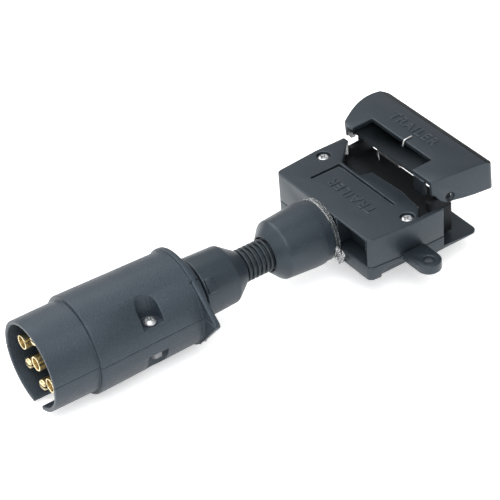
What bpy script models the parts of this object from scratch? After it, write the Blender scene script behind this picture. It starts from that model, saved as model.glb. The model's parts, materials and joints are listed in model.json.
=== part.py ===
"""Trailer wiring connector: a seven-pin round plug joined by a ribbed strain relief to a flat socket with a lid.

The shared axis is X, from the plug's mouth at x = 0 to the lidded socket. Z is up, square to the
socket's top face. All sizes are in metres.
"""

import math

import bmesh
import bpy
from mathutils import Matrix, Vector

# ---- Fits ----
GAP = 0.0003            # between pieces that touch
RUN = 0.00008           # radial clearance of the hinge pin in its holes
PROUD = 0.002           # how far a cutter stands past the face it opens

# ---- Plug shells (two halves, split on the plug's own XY plane) ----
PLUG_ROLL = math.radians(-4.0)      # the flexible neck leaves the plug turned a little about X
SLEEVE_R = 0.0190
SLEEVE_WALL = 0.0018
SLEEVE_LENGTH = 0.0195
BODY_FRONT_R = 0.0207
BODY_REAR_R = 0.0196
BODY_LENGTH = 0.0465
FLANGE_R = 0.0205
FLANGE_THICK = 0.0024
REAR_BOSS_R = 0.0160
REAR_BOSS_LENGTH = 0.0030
CUP_ROOM_R = 0.0126                 # behind the carrier, ahead of the screw pockets
WIRE_ROOM_R = 0.0114
REAR_BORE_R = 0.0090
REAR_WALL = 0.0035                  # inside the flange, where the collar is trapped
KEYWAY_WIDTH = 0.0066
KEYWAY_LENGTH = 0.0150
SHELL_SEGMENTS = 48

BODY_X = SLEEVE_LENGTH
FLANGE_X = BODY_X + BODY_LENGTH
BOSS_X = FLANGE_X + FLANGE_THICK
SHELL_END_X = BOSS_X + REAR_BOSS_LENGTH

# ---- Screw pockets of the plug ----
POCKET_X = 0.0451
POCKET_R = 0.00465
POCKET_Y = 0.01565
POCKET_FLOOR = 0.0062               # above and below the split
SHELL_SCREW_R = 0.0015
CROSS_TURN = math.radians(20.0)
SHELL_HEAD_R = 0.0024
SHELL_HEAD_HEIGHT = 0.0017
NUT_R = 0.0031
NUT_HEIGHT = 0.0024

# ---- Contacts ----
CARRIER_R = SLEEVE_R - SLEEVE_WALL + 0.0007
CARRIER_LENGTH = 0.0158
CONTACT_CIRCLE_R = 0.0105
TUBE_R = 0.0031
TUBE_BORE_R = 0.0024
TUBE_DEPTH = 0.0140
PIN_R = 0.0024
PIN_SLOT = 0.0007
PIN_SLOT_DEPTH = 0.0080
CONTACT_TIP_X = 0.0024
CUP_R = 0.0016
CUP_LENGTH = 0.0035
WIRE_R = 0.0008
BUNDLE_R = 0.0021

# ---- Collar, strain relief, gland ----
COLLAR_FRONT_R = 0.0129
COLLAR_REAR_R = 0.0123
COLLAR_X = SHELL_END_X + 0.0018
COLLAR_LENGTH = 0.0228
COLLAR_END_R = 0.0073
SPIGOT_WALL = 0.0032
BOOT_R = 0.0056
BOOT_BORE_R = 0.0036
BOOT_FLANGE_R = 0.0092
BOOT_FLANGE = 0.0050
RIB_R = 0.0071
RIB_COUNT = 7
RIB_PITCH = 0.0021
NECK_SPAN = 0.0126                  # from the collar's end to the gland's mouth
GLAND_MOUTH_R = 0.0081
GLAND_FRONT_R = 0.0126
GLAND_R = 0.0137
GLAND_LENGTH = 0.0255
BAND_WIDTH = 0.0022
BAND_THICK = 0.0009

COLLAR_END_X = COLLAR_X + COLLAR_LENGTH
GLAND_X = COLLAR_END_X + NECK_SPAN
BAND_X = GLAND_X + GLAND_LENGTH

# ---- Socket housing ----
HOUSING_X = BAND_X + BAND_WIDTH + 0.0006
HOUSING_LENGTH = 0.0364
HOUSING_FRONT_HALF = 0.0314
HOUSING_HALF = 0.0333
HOUSING_TOP = 0.01065
HOUSING_BOTTOM = -0.0093
HOUSING_SPLIT = -0.0030
HOUSING_WALL = 0.0020
CORNER_R = 0.0025
FLARE_LENGTH = 0.0210
RECESS_DEPTH = 0.0065
RECESS_HALF = 0.0262                # at its back; its side runs out towards the corner
RECESS_FRONT_HALF = 0.0296
RECESS_ROOF = 0.0010
CHANNEL_HALF = 0.0093
LIP_HALF = 0.0332
LIP_LENGTH = 0.0174
LIP_THICK = 0.0012
ARCH_HEIGHT = 0.0040
ARCH_DEPTH = 0.0028
ARCH_X = 0.0050
ARCH_LENGTH = 0.0170
EAR_X = 0.0205
EAR_R = 0.0052
EAR_REACH = 0.0099                  # ear hole's centre, out from the side wall
EAR_THICK = 0.0041
EAR_TOP = -0.0009                   # the near ear stands above the split
FAR_EAR_THICK = 0.0028              # the far ear lies under it
EAR_HOLE_R = 0.0021
GROOVE_WIDTH = 0.0017
GROOVE_DEPTH = 0.0015
TOP_SCREW_X = 0.0219
TOP_SCREW_Y = 0.0281
TOP_HEAD_R = 0.0029
TOP_HEAD_HEIGHT = 0.0018
TOP_SHAFT_R = 0.0014

HOUSING_END_X = HOUSING_X + HOUSING_LENGTH

# ---- Neck tube ----
NECK_R = 0.0076
NECK_BORE_R = 0.0050

# ---- Socket insert ----
INSERT_X = HOUSING_X + 0.0270
INSERT_HALF = 0.0273
INSERT_TOP = 0.0060
INSERT_BOTTOM = -0.0070
NOSE_REACH = 0.0083                 # past the end of the housing
MOAT_HALF = 0.0243
MOAT_TOP = 0.0048
MOAT_BOTTOM = -0.0058
MOAT_BACK = 0.0040
TONGUE_HALF = 0.0210
TONGUE_TOP = 0.0004
TONGUE_BOTTOM = -0.0042
TONGUE_SETBACK = 0.0013
SOCKET_PITCH = 0.0060
SOCKET_R = 0.0013
SOCKET_BORE_R = 0.0009
SOCKET_Z = -0.0019
CONTACT_COUNT = 7
CHEEK = 0.0029
CHEEK_TOP = 0.0128
CHEEK_X = 0.0112                    # behind the insert's mouth
WELL_FLOOR = 0.0042

NOSE_X = HOUSING_END_X + NOSE_REACH

# ---- Hinge and lid ----
HINGE_X = HOUSING_END_X + 0.0056
HINGE_Z = 0.0123
HINGE_PIN_R = 0.0012
PIN_SETBACK = 0.0011                # of the pin's ends in the lid's walls
PIN_POCKET_R = 0.0020
PIN_POCKET_DEPTH = 0.0008
KNUCKLE_R = 0.0030
LID_TILT = math.radians(-2.5)       # the open lid stands a little above level
LID_NEAR = -0.0080
LID_FAR = 0.0200
LID_TOP = 0.0103
LID_PLATE = 0.0021
LID_WALL = 0.0016
LID_RIGHT_NEAR = -0.0290
LID_RIGHT_FAR = -0.0338
LID_LEFT_NEAR = 0.0284
LID_LEFT_FAR = 0.0341
LID_BULGE = 0.0052
LID_CORNER = 0.0020
LID_RIM_Z = -0.0038
LID_FAR_WALL_Z = 0.0034
LID_NOTCH_X = 0.0020
LID_NOTCH_RIGHT = -0.0170
LID_NOTCH_LEFT = 0.0225
LID_BEVEL = 0.0038                  # width of the sloped grip on the far edge
LID_BEVEL_DROP = 0.0020
NOTCH_RIB = 0.0014                  # thickness of the ribs round the notch
NOTCH_RIB_Z = 0.0070                # their lower edge
GUARD_Z = 0.0006                    # lower edge of the guard over the pin's near end
GUARD_RIGHT = -0.0240
COIL_R = 0.0019
COIL_WIRE_R = 0.0004
COIL_TURNS = 10
COIL_LEFT = 0.0148
COIL_PITCH = 0.0014


# ---- Scene and helpers ----

def clear_scene():
    """Remove every object and any collection left by an earlier run."""
    for obj in list(bpy.data.objects):
        bpy.data.objects.remove(obj, do_unlink=True)
    for old in list(bpy.data.collections):
        bpy.data.collections.remove(old)


def add_collection(name, hidden=False):
    """Link a new collection to the scene."""
    made = bpy.data.collections.new(name)
    bpy.context.scene.collection.children.link(made)
    made.hide_render = hidden
    return made


def add_material(name, colour, roughness, metallic=0.0, alpha=1.0):
    """A Principled material."""
    material = bpy.data.materials.new(name)
    material.use_nodes = True
    shader = material.node_tree.nodes["Principled BSDF"]
    shader.inputs["Base Color"].default_value = (*colour, 1.0)
    shader.inputs["Roughness"].default_value = roughness
    shader.inputs["Metallic"].default_value = metallic
    shader.inputs["Alpha"].default_value = alpha
    material.diffuse_color = (*colour, alpha)
    return material


def add_object(name, mesh, group, parent=None, material=None):
    """Put a mesh in a collection, under a parent's frame."""
    obj = bpy.data.objects.new(name, mesh)
    group.objects.link(obj)
    obj.parent = parent
    if material:
        mesh.materials.append(material)
    return obj


def add_frame(name, group, location=(0.0, 0.0, 0.0), rotation=(0.0, 0.0, 0.0), parent=None):
    """An empty that carries the pieces of one frame."""
    frame = bpy.data.objects.new(name, None)
    frame.empty_display_size = 0.01
    group.objects.link(frame)
    frame.parent = parent
    frame.location = location
    frame.rotation_euler = rotation
    return frame


def turned(name, profile, group, parent=None, material=None, segments=32):
    """Turn an (x, radius) outline about X: the outer side forwards, then the inner side back.

    A closed outline gives a ring or tube; one that starts and ends at radius 0 gives a solid.
    """
    points = [Vector((radius, 0.0, x)) for x, radius in reversed(profile)]
    closed = profile[0][1] > 0.0
    edges = [(i, i + 1) for i in range(len(points) - 1)]
    if closed:
        edges.append((len(points) - 1, 0))
    mesh = bpy.data.meshes.new(name)
    mesh.from_pydata(points, edges, [])
    obj = add_object(name, mesh, group, parent, material)
    obj.rotation_euler = (0.0, math.pi / 2, 0.0)
    screw = obj.modifiers.new("turn", "SCREW")
    screw.axis = "Z"
    screw.angle = 2 * math.pi
    screw.steps = segments
    screw.render_steps = segments
    screw.use_merge_vertices = True
    screw.merge_threshold = 2e-5
    screw.use_smooth_shade = False
    return obj


def box(name, low, high, group, parent=None, material=None):
    """A box between two corners."""
    bm = bmesh.new()
    bmesh.ops.create_cube(bm, size=1.0)
    low = Vector(low)
    high = Vector(high)
    size = high - low
    place = Matrix.Translation((low + high) / 2) @ Matrix.Diagonal((*size, 1.0))
    bmesh.ops.transform(bm, matrix=place, verts=bm.verts)
    mesh = bpy.data.meshes.new(name)
    bm.to_mesh(mesh)
    bm.free()
    return add_object(name, mesh, group, parent, material)


def cylinder(name, start, end, radius, group, parent=None, material=None, segments=24):
    """A solid cylinder between two points."""
    start = Vector(start)
    end = Vector(end)
    along = end - start
    bm = bmesh.new()
    bmesh.ops.create_cone(bm, cap_ends=True, segments=segments, radius1=radius, radius2=radius,
                          depth=along.length)
    turn = Vector((0.0, 0.0, 1.0)).rotation_difference(along).to_matrix().to_4x4()
    bmesh.ops.transform(bm, matrix=Matrix.Translation((start + end) / 2) @ turn, verts=bm.verts)
    mesh = bpy.data.meshes.new(name)
    bm.to_mesh(mesh)
    bm.free()
    return add_object(name, mesh, group, parent, material)


def plate(name, outline, low, high, group, parent=None, material=None, upright=False):
    """A flat outline, filled and given thickness from low to high.

    The outline lies in XY and rises along Z, or when upright it lies in XZ and runs along Y.
    """
    curve = bpy.data.curves.new(name, "CURVE")
    curve.dimensions = "2D"
    curve.fill_mode = "BOTH"
    curve.extrude = (high - low) / 2
    spline = curve.splines.new("POLY")
    spline.points.add(len(outline) - 1)
    for point, (u, v) in zip(spline.points, outline):
        point.co = (u, v, 0.0, 1.0)
    spline.use_cyclic_u = True
    source = bpy.data.objects.new(name + "_curve", curve)
    bpy.context.scene.collection.objects.link(source)
    solid = bpy.data.meshes.new_from_object(source.evaluated_get(bpy.context.evaluated_depsgraph_get()))
    bpy.data.objects.remove(source, do_unlink=True)
    place = Matrix.Translation((0.0, 0.0, (low + high) / 2))
    if upright:
        place = Matrix.Rotation(math.pi / 2, 4, "X") @ Matrix.Translation((0.0, 0.0, -(low + high) / 2))
    bm = bmesh.new()
    bm.from_mesh(solid)
    bpy.data.meshes.remove(solid)
    bmesh.ops.remove_doubles(bm, verts=bm.verts, dist=1e-6)
    bmesh.ops.transform(bm, matrix=place, verts=bm.verts)
    bmesh.ops.recalc_face_normals(bm, faces=bm.faces)
    mesh = bpy.data.meshes.new(name)
    bm.to_mesh(mesh)
    bm.free()
    return add_object(name, mesh, group, parent, material)


def wire(name, points, radius, group, parent=None, material=None, sides=1):
    """A round wire through the given points."""
    curve = bpy.data.curves.new(name, "CURVE")
    curve.dimensions = "3D"
    curve.bevel_depth = radius
    curve.bevel_resolution = sides
    curve.use_fill_caps = True
    spline = curve.splines.new("POLY")
    spline.points.add(len(points) - 1)
    for point, place in zip(spline.points, points):
        point.co = (*place, 1.0)
    obj = bpy.data.objects.new(name, curve)
    group.objects.link(obj)
    obj.parent = parent
    if material:
        curve.materials.append(material)
    return obj


def boolean(obj, other, operation="DIFFERENCE"):
    """Cut, join or intersect with another solid."""
    step = obj.modifiers.new(operation.lower() + "_" + other.name, "BOOLEAN")
    step.operation = operation
    step.solver = "EXACT"
    step.object = other
    return step


def arc(centre, radius, start, end, count):
    """Points on an arc, angles in degrees."""
    points = []
    for i in range(count + 1):
        angle = math.radians(start + (end - start) * i / count)
        points.append((centre[0] + radius * math.cos(angle), centre[1] + radius * math.sin(angle)))
    return points


def rounded(corners, radius, sharp=(), count=4):
    """A closed outline with each corner replaced by an arc, apart from those listed as sharp."""
    outline = []
    for i, corner in enumerate(corners):
        if i in sharp:
            outline.append(corner)
            continue
        here = Vector(corner)
        before = (Vector(corners[i - 1]) - here).normalized()
        after = (Vector(corners[(i + 1) % len(corners)]) - here).normalized()
        half = before.angle(after) / 2
        reach = radius / math.tan(half)
        start = here + before * reach
        end = here + after * reach
        centre = here + (before + after).normalized() * (radius / math.sin(half))
        for k in range(count + 1):
            spoke = (start - centre).normalized().slerp((end - centre).normalized(), k / count)
            outline.append(tuple(centre + spoke * radius))
    return outline


def cross_recess(name, centre, size, depth, parent):
    """The cutter of a cross-head screw's recess, opening along Z."""
    arm = size / 2
    half = size / 7
    outline = [(arm, -half), (arm, half), (half, half), (half, arm), (-half, arm), (-half, half),
               (-arm, half), (-arm, -half), (-half, -half), (-half, -arm), (half, -arm), (half, -half)]
    turn = Matrix.Rotation(CROSS_TURN, 2)
    outline = [tuple(Vector(centre[:2]) + turn @ Vector(point)) for point in outline]
    return plate(name, outline, centre[2] - depth, centre[2] + PROUD, cutters, parent)


def screw_z(name, centre, head_r, head_height, shaft_r, shaft_length, parent):
    """A cross-head screw along Z: centre is the underside of its head."""
    x, y, z = centre
    outline = [(-shaft_length, 0.0), (-shaft_length, shaft_r * 0.6), (-shaft_length + shaft_r, shaft_r),
               (0.0, shaft_r), (0.0, head_r), (head_height * 0.55, head_r),
               (head_height, head_r * 0.55), (head_height, 0.0)]
    obj = turned(name, outline, parts, parent, zinc, segments=18)
    obj.rotation_euler = (0.0, 0.0, 0.0)
    obj.location = centre
    top = (x, y, z + head_height)
    boolean(obj, cross_recess(name + "_cross", top, head_r * 1.15, head_height * 0.5, parent))
    return obj


# ---- Plug ----

def shell_profile():
    """The outline both plug shells are turned from."""
    inner = SLEEVE_R - SLEEVE_WALL
    seat = CARRIER_R + GAP
    seat_end = BODY_X + 2 * GAP + CARRIER_LENGTH + GAP
    wall_x = SHELL_END_X - REAR_BOSS_LENGTH - FLANGE_THICK - REAR_WALL
    return [
        (0.0, SLEEVE_R - 0.0004),
        (0.0004, SLEEVE_R),
        (BODY_X, SLEEVE_R),
        (BODY_X, BODY_FRONT_R - 0.0007),
        (BODY_X + 0.0009, BODY_FRONT_R),
        (FLANGE_X - 0.0010, BODY_REAR_R),
        (FLANGE_X, BODY_REAR_R),
        (FLANGE_X + 0.0002, FLANGE_R - 0.0002),
        (FLANGE_X + 0.0007, FLANGE_R),
        (BOSS_X - 0.0007, FLANGE_R),
        (BOSS_X, FLANGE_R - 0.0006),
        (BOSS_X, REAR_BOSS_R + 0.0008),
        (SHELL_END_X - 0.0006, REAR_BOSS_R),
        (SHELL_END_X, REAR_BOSS_R - 0.0006),
        (SHELL_END_X, REAR_BORE_R),
        (wall_x, REAR_BORE_R),
        (wall_x, WIRE_ROOM_R),
        (POCKET_X - POCKET_R - 0.0010, WIRE_ROOM_R),
        (POCKET_X - POCKET_R - 0.0010, CUP_ROOM_R),
        (seat_end, CUP_ROOM_R),
        (seat_end, seat),
        (BODY_X + GAP, seat),
        (BODY_X + GAP, inner),
        (0.0007, inner),
        (0.0, inner + 0.0005),
    ]


def make_shell(name, side):
    """One half of the plug: side is +1 above the split and -1 below it."""
    shell = turned(name, shell_profile(), parts, plug, plug_plastic, SHELL_SEGMENTS)

    # The flange runs out to a square corner on the near side, on the split.
    reach = FLANGE_R * math.sqrt(2)
    corner = arc((-reach + 0.0018, 0.0), 0.0012, 135, 225, 4)
    outline = [(-FLANGE_R * 0.7071, FLANGE_R * 0.7071)] + corner + [(-FLANGE_R * 0.7071, -FLANGE_R * 0.7071)]
    outline += [(-FLANGE_R * 0.5, 0.0)]
    lug = plate(name + "_lug", outline, FLANGE_X + 0.0003, BOSS_X - 0.0001, cutters, plug)
    lug.data.transform(Matrix(((0, 0, 1, 0), (1, 0, 0, 0), (0, 1, 0, 0), (0, 0, 0, 1))))
    room = cylinder(name + "_lug_room", (0.05, 0.0, 0.0), (0.08, 0.0, 0.0), REAR_BOSS_R - 0.0005,
                    cutters, plug, segments=32)
    boolean(lug, room)
    boolean(shell, lug, "UNION")

    low = (-PROUD, -0.04, GAP / 2) if side > 0 else (-PROUD, -0.04, -0.04)
    high = (0.09, 0.04, 0.04) if side > 0 else (0.09, 0.04, -GAP / 2)
    boolean(shell, box(name + "_half", low, high, cutters, plug), "INTERSECT")

    for hand in (-1, 1):
        y = hand * POCKET_Y
        round_end = arc((POCKET_X, y), POCKET_R, 0, -hand * 180, 10)
        outline = round_end + [(POCKET_X - POCKET_R, hand * 0.03), (POCKET_X + POCKET_R, hand * 0.03)]
        ends = sorted((side * POCKET_FLOOR, side * 0.03))
        tag = "near" if hand < 0 else "far"
        boolean(shell, plate(name + "_pocket_" + tag, outline, ends[0], ends[1], cutters, plug))
        hole = cylinder(name + "_hole_" + tag, (POCKET_X, y, -0.001 * side),
                        (POCKET_X, y, side * (POCKET_FLOOR + 0.001)), SHELL_SCREW_R + GAP,
                        cutters, plug, segments=16)
        boolean(shell, hole)
    return shell


def make_plug():
    """The shells, their screws and nuts, the carrier and its contacts."""
    make_shell("plug_shell_upper", 1)
    lower = make_shell("plug_shell_lower", -1)
    keyway = box("keyway", (-PROUD, -KEYWAY_WIDTH / 2, -SLEEVE_R - PROUD),
                 (KEYWAY_LENGTH, KEYWAY_WIDTH / 2, -SLEEVE_R * 0.7), cutters, plug)
    boolean(lower, keyway)

    for tag, hand in (("near", -1), ("far", 1)):
        y = hand * POCKET_Y
        length = 2 * POCKET_FLOOR + 2 * GAP + NUT_HEIGHT + 0.0006
        screw_z("shell_screw_" + tag, (POCKET_X, y, POCKET_FLOOR + GAP), SHELL_HEAD_R,
                SHELL_HEAD_HEIGHT, SHELL_SCREW_R, length, plug)
        nut_top = -POCKET_FLOOR - GAP
        nut = cylinder("shell_nut_" + tag, (POCKET_X, y, nut_top), (POCKET_X, y, nut_top - NUT_HEIGHT),
                       NUT_R, parts, plug, zinc, segments=6)
        boolean(nut, cylinder("nut_bore_" + tag, (POCKET_X, y, nut_top + PROUD),
                              (POCKET_X, y, nut_top - NUT_HEIGHT - PROUD), SHELL_SCREW_R + GAP / 2,
                              cutters, plug, segments=16))

    front = BODY_X + 2 * GAP
    back = front + CARRIER_LENGTH
    carrier = cylinder("contact_carrier", (front, 0.0, 0.0), (back, 0.0, 0.0), CARRIER_R, parts, plug,
                       carrier_plastic, segments=36)

    for index in range(CONTACT_COUNT):
        angle = math.radians(30 + 60 * index)
        reach = CONTACT_CIRCLE_R if index < 6 else 0.0
        y = reach * math.cos(angle)
        z = reach * math.sin(angle)
        is_tube = index in (0, 3, 6)
        radius = TUBE_R if is_tube else PIN_R
        name = ("tube_contact_" if is_tube else "pin_contact_") + str(index + 1)
        tip = CONTACT_TIP_X if is_tube else CONTACT_TIP_X + 0.0004
        if is_tube:
            outline = [(tip + TUBE_DEPTH, 0.0), (tip + TUBE_DEPTH, TUBE_BORE_R),
                       (tip + 0.0003, TUBE_BORE_R), (tip, TUBE_BORE_R + 0.0002), (tip, radius - 0.0002),
                       (tip + 0.0003, radius), (back, radius), (back, CUP_R),
                       (back + CUP_LENGTH, CUP_R), (back + CUP_LENGTH, 0.0)]
        else:
            outline = [(tip, 0.0), (tip + 0.0002, radius * 0.5), (tip + 0.0009, radius * 0.87),
                       (tip + 0.0020, radius), (back, radius), (back, CUP_R),
                       (back + CUP_LENGTH, CUP_R), (back + CUP_LENGTH, 0.0)]
        contact = turned(name, outline, parts, plug, brass, segments=16)
        contact.location = (0.0, y, z)
        if not is_tube:
            slot = box(name + "_slot", (tip - PROUD, y - radius - PROUD, z - PIN_SLOT / 2),
                       (tip + PIN_SLOT_DEPTH, y + radius + PROUD, z + PIN_SLOT / 2), cutters, plug)
            boolean(contact, slot)
        bore = cylinder(name + "_bore", (front - PROUD, y, z), (back + PROUD, y, z), radius + GAP,
                        cutters, plug, segments=16)
        boolean(carrier, bore)


def make_wires():
    """Seven wires, from the plug's solder cups through the neck to the socket's contacts."""
    start_x = BODY_X + 2 * GAP + CARRIER_LENGTH + CUP_LENGTH + GAP
    gather_x = FLANGE_X - REAR_WALL - 0.0030
    spread_x = HOUSING_X + 0.0050
    end_x = INSERT_X - 2 * GAP - 0.0020
    # Which place in the socket's row each of the ring's wires runs to, so that none cross.
    rows = (6, 4, 1, 0, 2, 5, 3)
    colours = ((0.75, 0.65, 0.05), (0.75, 0.75, 0.72), (0.05, 0.35, 0.1), (0.2, 0.09, 0.03),
               (0.6, 0.04, 0.03), (0.03, 0.08, 0.45), (0.02, 0.02, 0.02))
    for index in range(CONTACT_COUNT):
        angle = math.radians(30 + 60 * index)
        reach = CONTACT_CIRCLE_R if index < 6 else 0.0
        tight = BUNDLE_R if index < 6 else 0.0
        row_y = (rows[index] - 3) * SOCKET_PITCH
        start = plug_matrix @ Vector((start_x, reach * math.cos(angle), reach * math.sin(angle)))
        middle = (tight * math.cos(angle + PLUG_ROLL), tight * math.sin(angle + PLUG_ROLL))
        points = [start, start + Vector((0.0005, 0.0, 0.0)), (gather_x, *middle), (spread_x, *middle),
                  (end_x - 0.0020, row_y, SOCKET_Z), (end_x, row_y, SOCKET_Z)]
        colour = add_material("wire_" + str(index + 1), colours[index], 0.45)
        wire("wire_" + str(index + 1), points, WIRE_R, parts, None, colour)


# ---- Collar, strain relief, gland ----

def make_neck():
    """The plug's collar, the ribbed strain relief, the gland with its tie, and the neck tube."""
    trap_x = SHELL_END_X - REAR_BOSS_LENGTH - FLANGE_THICK - REAR_WALL - GAP
    boot_x = COLLAR_END_X - 0.0046 - BOOT_FLANGE
    cavity_x = boot_x - GAP - 0.0060
    bore = REAR_BORE_R - GAP - SPIGOT_WALL
    collar = turned("plug_collar", [
        (trap_x - 0.0017, WIRE_ROOM_R - GAP),
        (trap_x, WIRE_ROOM_R - GAP),
        (trap_x, REAR_BORE_R - GAP),
        (COLLAR_X, REAR_BORE_R - GAP),
        (COLLAR_X, COLLAR_FRONT_R - 0.0005),
        (COLLAR_X + 0.0005, COLLAR_FRONT_R),
        (COLLAR_END_X - 0.0075, COLLAR_REAR_R),
        (COLLAR_END_X - 0.0060, COLLAR_REAR_R - 0.0005),
        (COLLAR_END_X - 0.0008, COLLAR_END_R + 0.0007),
        (COLLAR_END_X, COLLAR_END_R - 0.0002),
        (COLLAR_END_X, BOOT_R + GAP),
        (boot_x + BOOT_FLANGE + GAP, BOOT_R + GAP),
        (boot_x + BOOT_FLANGE + GAP, BOOT_FLANGE_R + GAP),
        (cavity_x, BOOT_FLANGE_R + GAP),
        (cavity_x, bore),
        (trap_x - 0.0017, bore),
    ], parts, plug, boot_plastic, 44)
    tab = box("collar_tab_form", (COLLAR_X + 0.0006, -0.0030, COLLAR_FRONT_R - 0.0012),
              (COLLAR_X + 0.0042, 0.0030, COLLAR_FRONT_R + 0.0007), cutters, plug)
    tab.rotation_euler = (math.radians(60.0), 0.0, 0.0)
    boolean(collar, tab, "UNION")

    relief = [(boot_x, BOOT_FLANGE_R), (boot_x + BOOT_FLANGE, BOOT_FLANGE_R), (boot_x + BOOT_FLANGE, BOOT_R)]
    rib_x = COLLAR_END_X + 0.0006
    for rib in range(RIB_COUNT):
        x = rib_x + rib * RIB_PITCH
        relief += [(x, BOOT_R), (x + 0.22 * RIB_PITCH, RIB_R - 0.0001), (x + 0.48 * RIB_PITCH, RIB_R - 0.0001),
                   (x + 0.70 * RIB_PITCH, BOOT_R)]
    far_x = GLAND_X + 0.0072
    relief += [(far_x, BOOT_R), (far_x, BOOT_FLANGE_R), (far_x + BOOT_FLANGE, BOOT_FLANGE_R),
               (far_x + BOOT_FLANGE, BOOT_BORE_R), (boot_x, BOOT_BORE_R)]
    turned("strain_relief", relief, parts, None, rubber, 28)

    end_x = BAND_X + BAND_WIDTH + GAP
    neck_x = far_x + BOOT_FLANGE + 0.0030
    turned("socket_gland", [
        (GLAND_X, GLAND_MOUTH_R),
        (GLAND_X + 0.0040, GLAND_FRONT_R),
        (GLAND_X + 0.0055, GLAND_FRONT_R + 0.0005),
        (GLAND_X + 0.0180, GLAND_R),
        (BAND_X - 0.0035, GLAND_R),
        (BAND_X - 0.0033, GLAND_R - 0.0004),
        (BAND_X, GLAND_R - 0.0005),
        (BAND_X, GLAND_R - 0.0015),
        (end_x, GLAND_R - 0.0015),
        (end_x, NECK_R + GAP),
        (neck_x, NECK_R + GAP),
        (neck_x, NECK_BORE_R),
        (far_x + BOOT_FLANGE + GAP, NECK_BORE_R),
        (far_x + BOOT_FLANGE + GAP, BOOT_FLANGE_R + GAP),
        (far_x - GAP, BOOT_FLANGE_R + GAP),
        (far_x - GAP, BOOT_R + GAP),
        (far_x - 0.0022, BOOT_R + GAP),
        (far_x - 0.0022, RIB_R + GAP),
        (GLAND_X, RIB_R + GAP),
    ], parts, None, boot_plastic, 44)

    seat = GLAND_R - 0.0015 + GAP / 2
    band = turned("clear_tie", [
        (BAND_X + GAP, seat + BAND_THICK), (BAND_X + BAND_WIDTH, seat + BAND_THICK),
        (BAND_X + BAND_WIDTH, seat), (BAND_X + GAP, seat),
    ], parts, None, clear_nylon, 44)
    head = box("tie_head_form", (BAND_X + 2 * GAP, -0.0026, seat + 0.0003),
               (HOUSING_X - GAP, 0.0026, seat + 0.0046), cutters)
    head.rotation_euler = (math.radians(115.0), 0.0, 0.0)
    boolean(band, head, "UNION")

    front = neck_x + GAP
    back = HOUSING_X + 0.0065
    neck = turned("neck_tube", [(front, NECK_R), (back, NECK_R), (back, NECK_BORE_R + 0.0008),
                                (front, NECK_BORE_R + 0.0008)], parts, None, housing_plastic, 32)
    wing = box("neck_wing", (back - 0.0020, -CHANNEL_HALF + GAP, -0.0062), (back, CHANNEL_HALF - GAP, 0.0062),
               cutters)
    boolean(wing, cylinder("neck_wing_bore", (back - 0.01, 0.0, 0.0), (back + 0.01, 0.0, 0.0),
                           NECK_BORE_R + 0.0014, cutters, None, segments=32))
    boolean(neck, wing, "UNION")


# ---- Socket housing ----

def housing_outline():
    """The housing seen from above: it widens from the front, then runs straight to its end."""
    corners = [(HOUSING_X, -HOUSING_FRONT_HALF), (HOUSING_X + FLARE_LENGTH, -HOUSING_HALF),
               (HOUSING_END_X, -HOUSING_HALF), (HOUSING_END_X, HOUSING_HALF),
               (HOUSING_X + FLARE_LENGTH, HOUSING_HALF), (HOUSING_X, HOUSING_FRONT_HALF)]
    return rounded(corners, CORNER_R, sharp=(1, 2, 3, 4))


def cut_housing_rooms(half, tag, low, high):
    """Cut the wire room, the neck's channel and the insert's seat from one half."""
    room = box(tag + "_room", (HOUSING_X + RECESS_DEPTH + HOUSING_WALL, -0.0235, low),
               (INSERT_X + 0.001, 0.0235, high), cutters)
    channel = box(tag + "_channel", (HOUSING_X + 0.0042, -CHANNEL_HALF, low),
                  (HOUSING_X + 0.0120, CHANNEL_HALF, high), cutters)
    mouth = cylinder(tag + "_mouth", (HOUSING_X - PROUD, 0.0, 0.0), (HOUSING_X + 0.0080, 0.0, 0.0),
                     NECK_R + GAP, cutters, None, segments=32)
    seat = box(tag + "_seat", (INSERT_X - GAP, -INSERT_HALF - GAP, low),
               (HOUSING_END_X + PROUD, INSERT_HALF + GAP, high), cutters)
    for cutter in (room, channel, mouth, seat):
        boolean(half, cutter)


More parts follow.
